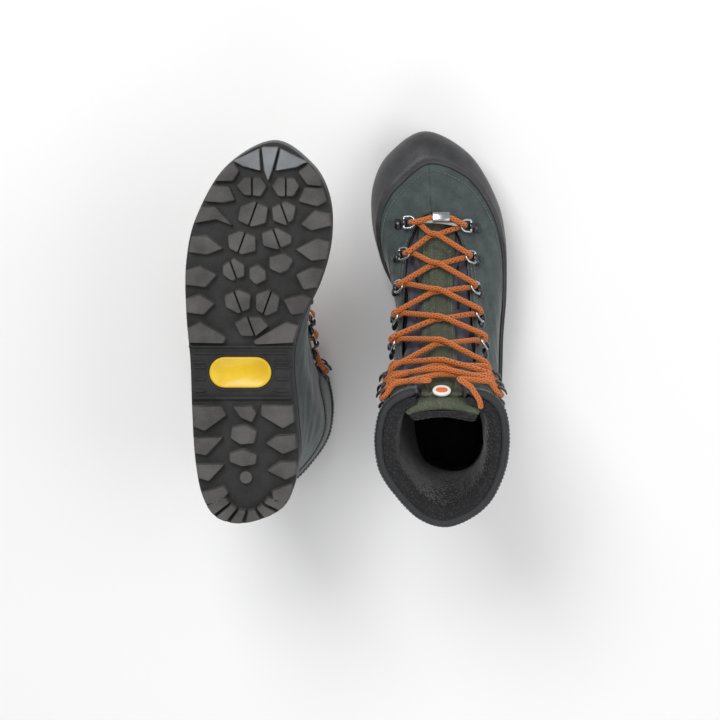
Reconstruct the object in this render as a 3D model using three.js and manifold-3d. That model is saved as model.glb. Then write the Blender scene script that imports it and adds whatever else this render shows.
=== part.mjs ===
// A pair of lace-up mountaineering boots: one stands on its lugs, the other is turned over so that
// its tread faces up. Millimetres, +Z up, toes towards +Y. Each boot is built in its own frame:
// +X to the outer (lateral) side, +Y from heel to toe, +Z up from the ground.
import * as THREE from "three";
import { mergeVertices } from "three/addons/utils/BufferGeometryUtils.js";
import Module from "manifold-3d";

const wasm = await Module();
wasm.setup();

// ---------- driving dimensions, in millimetres ----------
const SOLE_LENGTH = 306;
const BALL_WIDTH = 117;
const COLLAR_LENGTH = 114;
const COLLAR_WIDTH = 105;
const COLLAR_FRONT_HEIGHT = 204;
const COLLAR_BACK_HEIGHT = 192;
const BOOT_GAP = 34; // free floor between the two soles
const STAGGER = 3; // how far the standing boot's toe is ahead of the other's

const LUG_DEPTH = 5.5;
const TREAD_BASE = 4.5; // solid rubber above the lugs
const MIDSOLE_TOE = 8; // midsole thickness under the toes
const MIDSOLE_HEEL = 17;
const TOE_SPRING = 10; // how far the toe of the sole rises
const SPRING_START = 0.66; // share of the sole length where the rise begins
const BOARD = 2.4;
const FOOTBED = 4.5;

const UPPER_WALL = 2.6;
const STIFFENER = 1.2; // toe puff and heel counter, between the upper and the lining
const LINING = 3; // lining thickness in the foot
const COLLAR_PAD = 12; // lining thickness at the padded collar
const RAND = 2.6;
const FEATHER_INSET = 4; // the upper starts this far inside the sole's edge
const TONGUE = 5;
const CLEAR = 0.3; // gap between pieces that touch

const LACE = 4.6;
const WIRE = 2.2; // diameter of the loops' and rings' wire
const PAD_DEPTH = 6; // how far the tongue's pad lies under the skin's line
const BADGE_LENGTH = 50;
const BADGE_WIDTH = 25;
const PLUG = 10; // diameter of the round heel plug

// ---------- derived heights ----------
const TREAD_TOP = LUG_DEPTH + TREAD_BASE;
const FEATHER_TOE = TREAD_TOP + MIDSOLE_TOE + 2 * CLEAR;
const FEATHER_HEEL = TREAD_TOP + MIDSOLE_HEEL + 2 * CLEAR;

// ---------- small helpers ----------
const { lerp, clamp, smoothstep } = THREE.MathUtils;

// Uniform Catmull-Rom value at u, 0 to 1, through a list of numbers; a closed list wraps round.
function smooth(values, u, closed = false) {
  const last = closed ? values.length : values.length - 1;
  const place = (closed ? u - Math.floor(u) : clamp(u, 0, 1)) * last;
  const i = Math.min(Math.floor(place), last - 1);
  const at = (k) =>
    closed ? values[(k + values.length) % values.length] : values[clamp(k, 0, last)];
  const [a, b, c, d] = [at(i - 1), at(i), at(i + 1), at(i + 2)];
  const w = place - i;
  const v0 = (c - a) / 2;
  const v1 = (d - b) / 2;
  return (2 * b - 2 * c + v0 + v1) * w ** 3 + (-3 * b + 3 * c - 2 * v0 - v1) * w * w + v0 * w + b;
}

// Height by which the toe spring raises a point of the boot.
function spring(y) {
  const start = SPRING_START * SOLE_LENGTH;
  return y < start ? 0 : TOE_SPRING * ((y - start) / (SOLE_LENGTH - start)) ** 2;
}

// The closed manifold-3d solid of a geometry.
function solid(geometry) {
  const bare = geometry.index ? geometry.toNonIndexed() : geometry.clone();
  bare.deleteAttribute("normal");
  bare.deleteAttribute("uv");
  const merged = mergeVertices(bare, 1e-4);
  return new wasm.Manifold(
    new wasm.Mesh({
      numProp: 3,
      vertProperties: merged.attributes.position.array,
      triVerts: new Uint32Array(merged.index.array),
    }),
  );
}

// The BufferGeometry of a manifold-3d solid.
function geometryOf(manifold) {
  const mesh = manifold.getMesh();
  const points = new Float32Array(mesh.numVert * 3);
  for (let i = 0; i < mesh.numVert; i++) {
    points.set(mesh.vertProperties.subarray(i * mesh.numProp, i * mesh.numProp + 3), i * 3);
  }
  const geometry = new THREE.BufferGeometry();
  geometry.setAttribute("position", new THREE.BufferAttribute(points, 3));
  geometry.setIndex(new THREE.BufferAttribute(mesh.triVerts, 1));
  geometry.computeVertexNormals();
  return geometry;
}

// A solid of rings of points: each ring closes on itself, and the last ring joins the first. From
// the ring numbered swap on, the quads are split along their other diagonal.
function ringSolid(rings, swap = rings.length) {
  const around = rings[0].length;
  const index = [];
  rings.forEach((_, r) => {
    const next = (r + 1) % rings.length;
    for (let j = 0; j < around; j++) {
      const k = (j + 1) % around;
      const [a, b, c, d] = [r * around + j, r * around + k, next * around + k, next * around + j];
      if (r < swap) index.push(a, b, c, a, c, d);
      else index.push(a, b, d, b, c, d);
    }
  });
  const geometry = new THREE.BufferGeometry().setFromPoints(rings.flat());
  geometry.setIndex(index);
  return solid(geometry);
}

// ---------- the sole's outline, and the collar's, point by matching point ----------
// Both start at the middle of the back and run along the outer side to the front. x is a share of
// the ball or collar width, y a share of the sole or collar length.
const SOLE_POINTS = [
  [0.085, 0], [0.29, 0.012], [0.395, 0.07], [0.444, 0.17], [0.462, 0.3],
  [0.47, 0.43], [0.495, 0.56], [0.492, 0.69], [0.42, 0.81], [0.22, 0.935],
  [-0.103, 1], [-0.36, 0.94], [-0.475, 0.86], [-0.495, 0.76], [-0.43, 0.65],
  [-0.28, 0.53], [-0.218, 0.42], [-0.245, 0.28], [-0.262, 0.15], [-0.17, 0.045],
];
const COLLAR_POINTS = [
  [0, 0], [0.19, 0.06], [0.345, 0.19], [0.445, 0.4], [0.476, 0.61],
  [0.462, 0.777], [0.419, 0.884], [0.333, 0.955], [0.229, 0.982], [0.114, 0.996],
  [-0.029, 1], [-0.171, 0.996], [-0.286, 0.982], [-0.39, 0.938], [-0.476, 0.857],
  [-0.514, 0.741], [-0.524, 0.589], [-0.486, 0.4], [-0.36, 0.22], [-0.19, 0.06],
];
const COLLAR_BACK = -8; // the collar's back, behind the back of the sole
const AXIS = -0.025 * BALL_WIDTH; // the throat's middle line

const column = (points, k) => points.map((p) => p[k]);
const SOLE_X = column(SOLE_POINTS, 0);
const SOLE_Y = column(SOLE_POINTS, 1);
const COLLAR_X = column(COLLAR_POINTS, 0);
const COLLAR_Y = column(COLLAR_POINTS, 1);

// A point of the sole's edge, moved inwards by inset.
function solePoint(around, inset = 0) {
  const at = (u) =>
    new THREE.Vector2(
      smooth(SOLE_X, u, true) * BALL_WIDTH,
      smooth(SOLE_Y, u, true) * SOLE_LENGTH,
    );
  const along = at(around + 0.002).sub(at(around - 0.002)).normalize();
  return at(around).add(new THREE.Vector2(-along.y, along.x).multiplyScalar(inset));
}

// ---------- the upper's skin: stations from the sole's feather edge up to the collar ----------
const RECEDE = [0, 0, 0.015, 0.06, 0.135, 0.225, 0.32, 0.42, 0.53, 0.65, 0.77, 0.87, 0.94, 0.98, 1];
const BULGE = [0, 2.4, 2.2, 1, 0, 0, 0, 0, 0, 0, 0, 0, 0, 0, 0];
const PINCH = [0, 0, 0.02, 0.05, 0.11, 0.17, 0.22, 0.25, 0.26, 0.24, 0.19, 0.13, 0.07, 0.03, 0];
const HEEL_IN = [0, 0, 0, 2, 4, 7, 10, 12, 13.5, 14, 13, 10, 7, 3, 0];
const FRONT_RISE = [
  0, 0.071, 0.141, 0.19, 0.223, 0.25, 0.283, 0.329, 0.391, 0.473, 0.576, 0.69, 0.804, 0.908, 1,
];
const BACK_RISE = [
  0, 0.061, 0.134, 0.2, 0.268, 0.33, 0.384, 0.44, 0.494, 0.561, 0.64, 0.726, 0.823, 0.915, 1,
];

// The skin at a height share up, 0 to 1, and a share around, 0 at the back and 0.5 at the front.
function skin(up, around) {
  const recede = smooth(RECEDE, up);
  const foot = solePoint(around, FEATHER_INSET - smooth(BULGE, up));
  const collarX = smooth(COLLAR_X, around, true) * COLLAR_WIDTH;
  const collarShare = smooth(COLLAR_Y, around, true);
  const forward = clamp(lerp(foot.y / SOLE_LENGTH, collarShare, recede), 0, 1);
  const backZ = lerp(FEATHER_HEEL, COLLAR_BACK_HEIGHT, smooth(BACK_RISE, up));
  const frontZ = lerp(FEATHER_TOE, COLLAR_FRONT_HEIGHT, smooth(FRONT_RISE, up));
  let x = lerp(foot.x, collarX, recede);
  x -= (x - AXIS) * smooth(PINCH, up) * smoothstep(forward, 0.45, 0.8);
  const y =
    lerp(foot.y, COLLAR_BACK + collarShare * COLLAR_LENGTH, recede) +
    smooth(HEEL_IN, up) * (1 - forward) ** 2;
  return new THREE.Vector3(x, y, lerp(backZ, frontZ, forward) + spring(y));
}

// The outward unit normal of the skin.
function skinNormal(up, around) {
  const lower = clamp(up - 0.01, 0, 0.98);
  const rise = skin(lower + 0.02, around).sub(skin(lower, around));
  const turn = skin(up, around + 0.004).sub(skin(up, around - 0.004));
  return turn.cross(rise).normalize();
}

// A point at a distance out from the skin, negative inside. Past the collar's edge it goes on up.
function offSkin(up, around, out) {
  const rim = clamp(up, 0, 1);
  const point = skin(rim, around).addScaledVector(skinNormal(rim, around), out);
  point.z += (up - rim) * COLLAR_FRONT_HEIGHT;
  return point;
}

const AROUND = 24; // facets round the boot
const RISE = 9; // facets from the feather edge to the collar

// A closed band of the skin between two heights, from inner to outer off the skin. The heights may
// change with the share around, and the offsets with the height.
// Both faces split their quads alike, so that bands of the same heights keep their distance.
function band(low, high, inner, outer, steps = RISE) {
  const ring = (share, off) =>
    Array.from({ length: AROUND }, (_, j) => {
      const around = j / AROUND;
      const up = lerp(low(around), high(around), share);
      return offSkin(up, around, off(up));
    });
  const shares = Array.from({ length: steps + 1 }, (_, i) => i / steps);
  const rings = [
    ...shares.map((share) => ring(share, outer)),
    ...shares.toReversed().map((share) => ring(share, inner)),
  ];
  return ringSolid(rings, shares.length);
}
const always = (value) => () => value;

// An upright prism over an outline given from above as [x, y] points.
function prism(points, low, high) {
  const shape = new THREE.Shape(points.map(([x, y]) => new THREE.Vector2(x, y)));
  const geometry = new THREE.ExtrudeGeometry(shape, { depth: high - low, bevelEnabled: false });
  return solid(geometry.translate(0, 0, low));
}

// The plan outline of a gap down the front of the boot, from half widths at shares of the length.
function throatPlan(halfWidths, grow = 0) {
  const side = (sign) =>
    halfWidths.map(([half, share]) => [AXIS + sign * (half + grow), share * SOLE_LENGTH]);
  return [...side(1), ...side(-1).toReversed()];
}

// The gap between the lace facings: wide over the instep, narrow under the vamp and at the collar.
// Its toe end is tied to the first row of rings, whose pivots are this many millimetres away.
const THROAT_SIDES = [
  [20, 0.2], [20, 0.345], [27, 0.375], [33.5, 0.41], [32.5, 0.46], [30, 0.533],
  [28, 0.61], [26.5, 0.69],
];
const THROAT_END = [[24.5, -2], [20, 4], [8, 7.5]];

function throatHalves() {
  const first = rowMiddle(0).y;
  return [...THROAT_SIDES, ...THROAT_END.map(([half, on]) => [half, (first + on) / SOLE_LENGTH])];
}

// A slab over the sole's plan between two insets and two heights that may change along the sole.
function slab(insetLow, insetHigh, low, high) {
  const loop = (inset, height) =>
    Array.from({ length: AROUND }, (_, j) => {
      const edge = solePoint(j / AROUND, inset);
      return new THREE.Vector3(edge.x, edge.y, height(edge.y / SOLE_LENGTH) + spring(edge.y));
    });
  const points = [...loop(insetLow, low), ...loop(insetHigh, high)];
  const index = [];
  for (let j = 0; j < AROUND; j++) {
    const k = (j + 1) % AROUND;
    index.push(j, k, AROUND + k, j, AROUND + k, AROUND + j);
  }
  // Each cap is a strip from one side's points to the other's, from the heel to the toe.
  for (let j = 0; j < AROUND / 2; j++) {
    const [a, b, c, d] = [j, j + 1, AROUND - j - 1, (AROUND - j) % AROUND];
    for (const [p, q, r] of [[a, c, b], [a, d, c]]) {
      if (p === q || q === r || p === r) continue;
      index.push(p, q, r, AROUND + r, AROUND + q, AROUND + p);
    }
  }
  const geometry = new THREE.BufferGeometry().setFromPoints(points);
  geometry.setIndex(index);
  return solid(geometry);
}

const featherAt = (share) => lerp(FEATHER_HEEL, FEATHER_TOE, clamp(share, 0, 1));

// Everything below the feather edge, to trim what stands on it.
const SOLE_BLOCK = slab(-12, -12, always(-60), featherAt);

// ---------- soft and leather pieces ----------
// How thick the lining is at a height: thin in the foot, padded towards the collar.
const liningDepth = (up) => LINING + (COLLAR_PAD - LINING) * smoothstep(up, 0.62, 0.92);
const LINING_OUTER = -(UPPER_WALL + STIFFENER + 2 * CLEAR);


function upper() {
  const shell = band(always(0), always(1), always(-UPPER_WALL), always(0));
  const open = shell.subtract(prism(throatPlan(throatHalves()), 40, 300));
  return CLIPS.reduce((body, clip) => body.add(clip), open);
}

function lining() {
  const inner = (up) => LINING_OUTER - liningDepth(up);
  return band(always(0), always(1), inner, always(LINING_OUTER)).subtract(
    prism(throatPlan(throatHalves(), 2), 40, 300),
  );
}

// How far round the boot a place is from the heel, 0.
const fromHeel = (around) => Math.min(around, 1 - around);

// The rand's top edge: high over the toe and round the heel, low along the sides.
function randTop(around) {
  const toe = Math.exp(-(((around - 0.54) / 0.14) ** 2));
  const heel = Math.exp(-((fromHeel(around) / 0.1) ** 2));
  return 0.16 + 0.115 * toe + 0.1 * heel;
}

function rand() {
  const wrap = band(always(0), always(1), always(CLEAR), always(CLEAR + RAND));
  return wrap.subtract(band(randTop, always(1.1), always(-8), always(16))).subtract(SOLE_BLOCK);
}

// A stiffener between the upper and the lining, on the same facets as the upper.
function stiffener(plan) {
  const outer = -UPPER_WALL - CLEAR;
  return band(always(0), always(1), always(outer - STIFFENER), always(outer)).intersect(plan);
}

// A block from above over part of the boot's length, up to a height.
function block(from, to, height) {
  return prism(
    [[-200, from], [200, from], [200, to], [-200, to]],
    FEATHER_TOE - 1,
    height,
  );
}

const TONGUE_PLAN = [
  [27, 0.215], [29, 0.3], [33, 0.38], [38, 0.46], [36, 0.55],
  [33, 0.63], [29, 0.72], [26, 0.79], [20, 0.83],
];
const TONGUE_TOP = 7; // how far the tongue stands above the front of the collar
const TALL = 1 + 1 / RISE; // one more step of the skin, past the collar

// The underside of the collar's lining, where the tongue lies.
const underLining = (up) => LINING_OUTER - liningDepth(Math.min(up, 1)) - CLEAR;

function tongue() {
  const low = (up) => underLining(up) - TONGUE;
  const plan = prism(throatPlan(TONGUE_PLAN), 40, COLLAR_FRONT_HEIGHT + TONGUE_TOP);
  return band(always(0), always(TALL), low, underLining, RISE + 1).intersect(plan);
}

// The leather-faced pad on the tongue, which fills the gap between the facings.
function tonguePad() {
  const low = (up) => underLining(up) + CLEAR;
  const high = (up) => Math.max(low(up) + 1.5, -PAD_DEPTH);
  const plan = throatHalves().slice(1).map(([half, share]) => [half - 4, share - 0.012]);
  const cut = prism(throatPlan(plan), 40, COLLAR_FRONT_HEIGHT - 2);
  return band(always(0), always(TALL), low, high, RISE + 1).intersect(cut);
}

// ---------- sole pieces ----------
// The tread's blocks, seen through the sole from above, drawn for a sole of the drawing's size.
const DRAWN_LENGTH = 306;
const DRAWN_WIDTH = 117;
const LUGS = [
  [[19, 293], [-1, 301], [-2, 284], [13, 288]],
  [[-18, 301], [-38, 291], [-31, 287], [-14, 284]],
  [[-3, 302], [-16, 302], [-11, 284], [-8, 276], [-5, 284]],
  [[34, 276], [28, 284], [19, 290], [15, 284], [20, 276]],
  [[-50, 272], [-49, 280], [-40, 289], [-32, 283], [-39, 273]],
  [[17, 272], [11, 279], [-2, 279], [-7, 272], [-2, 264], [11, 265]],
  [[-11, 272], [-16, 279], [-29, 278], [-33, 272], [-28, 264], [-16, 264]],
  [[37, 272], [23, 272], [18, 261], [28, 259], [42, 260]],
  [[45, 255], [34, 256], [20, 241], [33, 246], [50, 243]],
  [[52, 232], [41, 233], [28, 223], [41, 218], [55, 220]],
  [[57, 205], [46, 209], [33, 202], [42, 192], [58, 194]],
  [[58, 182], [47, 186], [35, 179], [44, 170], [58, 172]],
  [[57, 158], [46, 164], [26, 152], [28, 147], [57, 147]],
  [[-32, 260], [-37, 271], [-51, 270], [-54, 260], [-47, 256]],
  [[-34, 242], [-45, 253], [-57, 250], [-58, 241], [-42, 237]],
  [[-30, 222], [-47, 231], [-58, 228], [-56, 215], [-42, 213]],
  [[-30, 202], [-43, 208], [-54, 205], [-50, 192], [-36, 190]],
  [[-20, 182], [-35, 186], [-45, 182], [-39, 171], [-26, 170]],
  [[4, 149], [-22, 164], [-34, 160], [-29, 147], [3, 146]],
  [[14, 256], [3, 260], [-8, 255], [-6, 243], [5, 240], [16, 245]],
  [[-11, 255], [-22, 260], [-30, 256], [-28, 246], [-22, 241], [-12, 245]],
  [[24, 233], [14, 237], [2, 232], [2, 221], [13, 218], [23, 223]],
  [[-3, 235], [-15, 239], [-27, 233], [-26, 227], [-15, 222], [-4, 225]],
  [[-9, 216], [-21, 219], [-28, 214], [-24, 206], [-17, 203], [-9, 207]],
  [[28, 209], [19, 215], [11, 210], [11, 201], [21, 197], [28, 202]],
  [[7, 207], [0, 210], [-6, 205], [-6, 198], [2, 194], [7, 199]],
  [[27, 185], [16, 190], [6, 186], [7, 175], [16, 171], [26, 176]],
  [[2, 186], [-8, 190], [-17, 184], [-15, 173], [-6, 169], [2, 174]],
  [[19, 163], [11, 168], [-2, 168], [-8, 161], [2, 153], [14, 153]],
  [[54, 96], [30, 96], [26, 89], [44, 76], [54, 80]],
  [[21, 96], [6, 96], [2, 91], [6, 83], [15, 87]],
  [[-2, 97], [-29, 97], [-29, 84], [-19, 78], [-1, 89]],
  [[53, 70], [29, 71], [43, 56], [52, 58]],
  [[-14, 72], [-30, 73], [-30, 62], [-19, 57], [-5, 66]],
  [[22, 79], [11, 81], [2, 76], [4, 66], [15, 65], [23, 70]],
  [[24, 58], [13, 61], [2, 57], [3, 49], [14, 47], [24, 51]],
  [[52, 49], [28, 49], [41, 35], [50, 38]],
  [[-17, 51], [-30, 51], [-30, 41], [-21, 36], [-6, 44]],
  [[48, 25], [29, 31], [25, 26], [31, 18], [43, 16]],
  [[-10, 27], [-26, 33], [-28, 25], [-23, 18], [-11, 18]],
];
const HEEL_CENTRE = [10.5, 30]; // the middle of the heel's round rear edge
const WEDGES = 6; // radial blocks round the back of the heel
const WEDGE_INNER = 19;
const LUG_RIM = 0.8; // the lugs stay this far inside the sole's edge
const BADGE_PLACE = [15, 123];
const BADGE_BED = 1.5; // how deep the badge sits in the shank
const PLUG_PLACE = [11, 38];

// A point of the drawing on this sole.
const grown = ([x, y]) => [(x * BALL_WIDTH) / DRAWN_WIDTH, (y * SOLE_LENGTH) / DRAWN_LENGTH];

// A radial block of the heel, between two angles, pointing back.
function heelWedge(i) {
  const step = Math.PI / (WEDGES + 2);
  const from = -Math.PI + step * (i + 1) + 0.04;
  const to = from + step - 0.08;
  const at = (radius, angle) => [
    HEEL_CENTRE[0] + radius * Math.cos(angle),
    HEEL_CENTRE[1] + radius * Math.sin(angle),
  ];
  const far = WEDGE_INNER + 40;
  return [at(WEDGE_INNER, from), at(far, from), at(far, to), at(WEDGE_INNER, to)];
}

// A rounded bar seen from above: two half rounds joined by straight sides.
function stadium([x, y], length, width, steps = 5) {
  const round = (sign) =>
    Array.from({ length: steps + 1 }, (_, i) => {
      const angle = Math.PI * (i / steps - 0.5) + (sign < 0 ? Math.PI : 0);
      return [
        x + (sign * (length - width)) / 2 + (width / 2) * Math.cos(angle),
        y + (width / 2) * Math.sin(angle),
      ];
    });
  return [...round(1), ...round(-1)];
}

function outsole() {
  const outlines = [...LUGS, ...Array.from({ length: WEDGES }, (_, i) => heelWedge(i))];
  const lugs = outlines.map((outline) => prism(outline.map(grown), -1, TREAD_TOP + TOE_SPRING));
  lugs.push(prism(stadium(PLUG_PLACE, PLUG, PLUG - 0.01, 4).map(grown), -1, TREAD_TOP));
  const envelope = slab(LUG_RIM, LUG_RIM, always(0), always(LUG_DEPTH + 0.5));
  const base = slab(0, 0, always(LUG_DEPTH), always(TREAD_TOP));
  const bed = prism(
    stadium(grown(BADGE_PLACE), BADGE_LENGTH + 2 * CLEAR, BADGE_WIDTH + 2 * CLEAR),
    0,
    LUG_DEPTH + BADGE_BED + CLEAR,
  );
  const tread = wasm.Manifold.union(lugs).intersect(envelope);
  return base.add(tread).subtract(bed);
}

function badge() {
  const place = grown(BADGE_PLACE);
  return prism(stadium(place, BADGE_LENGTH, BADGE_WIDTH), LUG_DEPTH - 1, LUG_DEPTH + BADGE_BED);
}

const midsole = () =>
  slab(0.6, 1.6, always(TREAD_TOP + CLEAR), (share) => featherAt(share) - CLEAR);

// The floor pieces lie inside the lining, clear of its inner face.
const FLOOR_INSET = FEATHER_INSET + UPPER_WALL + STIFFENER + 2 * CLEAR + LINING + 1.2;
const insoleBoard = () => slab(FLOOR_INSET, FLOOR_INSET, featherAt, (s) => featherAt(s) + BOARD);

function footbed() {
  const low = (share) => featherAt(share) + BOARD + CLEAR;
  return slab(FLOOR_INSET, FLOOR_INSET + 1, low, (share) => low(share) + FOOTBED);
}

// ---------- lacing: five pairs of rings, then three pairs of hooks ----------
// Each row's height shares on the skin, and how far its pivots are from the throat's middle line.
const ROWS = [
  { outer: 0.385, inner: 0.41, half: 26.5 }, { outer: 0.465, inner: 0.49, half: 28.5 },
  { outer: 0.54, inner: 0.56, half: 30.5 }, { outer: 0.615, inner: 0.635, half: 32 },
  { outer: 0.7, inner: 0.71, half: 34.5 }, { outer: 0.82, inner: 0.82, half: 39 },
  { outer: 0.885, inner: 0.885, half: 41 }, { outer: 0.95, inner: 0.95, half: 42 },
];
const RINGS = 5;
const SIDES = { outer: 1, inner: -1 };
const LACE_BEND = (WIRE + LACE) / 2 + 0.8; // radius at which the lace turns round a ring's wire
const RING_LIFT = LACE_BEND + LACE / 2 + CLEAR; // so that the lace passes under the wire
const RING_REACH = 9.5; // from the pivot's middle to the far wire's
const RING_WIDTH = 10; // between the middles of the wire's sides
const EYE = 4.4; // width of a clip's eye along the pivot
const PLATE = 10; // length of a clip's plate
const PLATE_SINK = 5; // how deep a plate reaches before it is trimmed inside the wall
const COS_30 = Math.cos(Math.PI / 6);
const HOOK_PLATE = 1.2;
const HOOK_POST = 3.2; // diameter

// The share around at which the skin at a height is a distance to one side of the middle line.
function aroundAt(up, side, half) {
  let [low, high] = side > 0 ? [0.25, 0.5] : [0.5, 0.75];
  for (let i = 0; i < 30; i++) {
    const middle = (low + high) / 2;
    const wide = (skin(up, middle).x - AXIS) * side > half;
    if (wide === side > 0) low = middle;
    else high = middle;
  }
  return (low + high) / 2;
}

// A frame on the skin: x towards the throat's middle line, y along it, z outwards.
function seat(row, side, lift) {
  const { outer, inner, half } = ROWS[row];
  const up = side > 0 ? outer : inner;
  const around = aroundAt(up, side, half);
  const z = skinNormal(up, around);
  const x = new THREE.Vector3(-side, 0, 0).addScaledVector(z, side * z.x).normalize();
  const matrix = new THREE.Matrix4().makeBasis(x, z.clone().cross(x), z);
  return matrix.setPosition(offSkin(up, around, lift));
}

const moved = (manifold, matrix) => manifold.transform(matrix.elements.slice());
const box = (x, y, z, cx, cy, cz) => solid(new THREE.BoxGeometry(x, y, z).translate(cx, cy, cz));

// A clip: a plate on the upper, folded into an eye round the pivot.
function clip(row, side) {
  const bore = WIRE + 1;
  const hole = new THREE.CylinderGeometry(bore / 2 / COS_30, bore / 2 / COS_30, EYE + 2, 6);
  const eye = box(bore + 1.4, EYE, bore + 1.4, 0, 0, 0);
  const deep = RING_LIFT + PLATE_SINK;
  const plate = box(PLATE, 6, deep, -PLATE / 2 - 1.5, 0, -deep / 2);
  const whole = moved(plate.add(eye).subtract(solid(hole)), seat(row, side, RING_LIFT));
  return whole.subtract(WALL_INSIDE);
}

// Everything inside the upper's wall, to trim what is fastened on the wall.
const WALL_INSIDE = band(always(0), always(1), always(-14), always(-UPPER_WALL));

const CLIPS = [];
for (let row = 0; row < RINGS; row++) {
  for (const side of Object.values(SIDES)) CLIPS.push(clip(row, side));
}

// A D-shaped ring about its pivot, which runs along y; the round side is towards +x.
function ring() {
  const round = 5;
  const path = [];
  for (let i = 0; i <= round; i++) {
    const angle = (i / round - 0.5) * Math.PI;
    const lead = RING_REACH - RING_WIDTH / 2;
    path.push([lead + (Math.cos(angle) * RING_WIDTH) / 2, (Math.sin(angle) * RING_WIDTH) / 2]);
  }
  path.push([0, RING_WIDTH / 2], [0, -RING_WIDTH / 2]);
  return wire(path.map(([x, y]) => new THREE.Vector3(x, y, 0)));
}

// A closed wire through points in the plane z = 0.
function wire(path) {
  const sides = 5;
  const rings = path.map((point, i) => {
    const before = path[(i + path.length - 1) % path.length];
    const after = path[(i + 1) % path.length];
    const into = point.clone().sub(before).normalize();
    const on = after.clone().sub(point).normalize();
    const along = into.add(on).normalize();
    const mitre = (WIRE / 2) / Math.max(along.dot(on), 0.6);
    const out = new THREE.Vector3(-along.y, along.x, 0);
    return Array.from({ length: sides }, (_, k) => {
      const angle = (k / sides) * 2 * Math.PI;
      const shifted = point.clone().addScaledVector(out, Math.cos(angle) * mitre);
      return shifted.setZ((Math.sin(angle) * WIRE) / 2);
    });
  });
  return ringSolid(rings);
}

// A hook: a riveted plate, a post, and a curl that keeps the lace in.
function hook(row, side) {
  const height = LACE + 3.4;
  const post = new THREE.CylinderGeometry(HOOK_POST / 2, HOOK_POST / 2, height + 4, 6);
  const whole = box(13, 8, 5, -4, 0, HOOK_PLATE - 2.5)
    .add(solid(post.rotateX(Math.PI / 2).translate(0, 0, height / 2 - 2 + HOOK_PLATE)))
    .add(box(9, 6, HOOK_PLATE, -2.5, 0, height + HOOK_PLATE));
  return moved(whole, seat(row, side, CLEAR)).subtract(SKIN_BLOCK);
}

// Everything under the skin, less a clearance, to cut what is fastened on it.
const SKIN_BLOCK = band(always(0), always(1), always(-14), always(CLEAR));

// ---------- the lace ----------
// A tube through points, each with its own ring of facets, turned as little as possible.
function tube(points, radius, sides) {
  let normal = new THREE.Vector3(0, 0, 1);
  const rings = points.map((point, i) => {
    const before = points[Math.max(i - 1, 0)];
    const after = points[Math.min(i + 1, points.length - 1)];
    const along = after.clone().sub(before).normalize();
    normal = normal.clone().addScaledVector(along, -normal.dot(along)).normalize();
    const across = along.clone().cross(normal);
    return Array.from({ length: sides }, (_, k) => {
      const angle = (k / sides) * 2 * Math.PI;
      return point.clone()
        .addScaledVector(normal, Math.cos(angle) * radius)
        .addScaledVector(across, Math.sin(angle) * radius);
    });
  });
  const geometry = new THREE.BufferGeometry().setFromPoints(rings.flat());
  const index = [];
  for (let i = 0; i + 1 < rings.length; i++) {
    for (let k = 0; k < sides; k++) {
      const [a, b] = [i * sides + k, i * sides + ((k + 1) % sides)];
      index.push(a, b, b + sides, a, b + sides, a + sides);
    }
  }
  const end = (rings.length - 1) * sides;
  for (let k = 1; k + 1 < sides; k++) {
    index.push(0, k + 1, k, end, end + k, end + k + 1);
  }
  geometry.setIndex(index);
  return solid(geometry);
}

// A point above the skin beside a row's pivot: in is the distance on from it towards the throat.
function beside(row, side, inwards, along, lift) {
  return new THREE.Vector3(inwards, along, lift).applyMatrix4(seat(row, side, 0));
}

// The lace's turn at a row, from over the ring's far wire to under it, or round a hook's post.
function turn(row, side) {
  const bend = LACE_BEND;
  if (row < RINGS) {
    return [
      beside(row, side, RING_REACH + 3, -1, RING_LIFT + bend),
      beside(row, side, RING_REACH - 2, 0, RING_LIFT + bend - 0.6),
      beside(row, side, RING_REACH - bend, 0, RING_LIFT),
      beside(row, side, RING_REACH - 2, 0, RING_LIFT - bend + 0.6),
      beside(row, side, RING_REACH + 3, 1, RING_LIFT - bend),
    ];
  }
  const round = (HOOK_POST + LACE) / 2 + 0.9;
  const lift = HOOK_PLATE + LACE / 2 + 1.5;
  return [
    beside(row, side, 11, -round, lift + 3),
    beside(row, side, 4, -round, lift),
    beside(row, side, 0, -round, lift),
    beside(row, side, -round, 0, lift),
    beside(row, side, 0, round, lift),
    beside(row, side, 4, round, lift),
    beside(row, side, 11, round, lift + 3),
  ];
}

// The point halfway between a row's two pivots.
function rowMiddle(row) {
  const pivot = (side) => new THREE.Vector3().setFromMatrixPosition(seat(row, side, 0));
  return pivot(1).lerp(pivot(-1), 0.5);
}

// The height share at which the skin's middle line comes nearest to a point.
function middleUp(target) {
  let best = 0;
  for (let up = 0.3; up < 1; up += 0.005) {
    if (skin(up, 0.5).distanceTo(target) < skin(best, 0.5).distanceTo(target)) best = up;
  }
  return best;
}

// Where a strand crosses the middle between two rows: one strand passes over the other.
function crossing(row, side, over) {
  const up = middleUp(rowMiddle(row).lerp(rowMiddle(row + 1), 0.4));
  const lift = (over ? 7.4 : 1.2) + (row < RINGS - 1 ? 0 : 4.4);
  return [0.006 * side, -0.006 * side].map((lean) => offSkin(up, 0.5 - lean, lift));
}

// One half of the lace, from the first row's turn on one side up to the last row's.
function strand(first) {
  const points = [];
  let side = first;
  for (let row = 0; row < ROWS.length; row++) {
    points.push(...turn(row, side));
    if (row + 1 < ROWS.length) points.push(...crossing(row, side, first * (row % 2 ? 1 : -1) > 0));
    side = -side;
  }
  return points;
}

const TAG = { length: 14, width: 8.6, height: 7.2 };

const BRIDGE_UP = middleUp(rowMiddle(0)) - 0.015;
const BRIDGE_AROUND = 0.485;

// The straight stretch between the first row's rings, through the tag.
function bridge() {
  const centre = offSkin(BRIDGE_UP, BRIDGE_AROUND, RING_LIFT + (WIRE + LACE) / 2);
  const reach = TAG.length / 2 + 1;
  return [1, -1].map((side) => centre.clone().setX(centre.x + side * reach));
}

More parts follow.
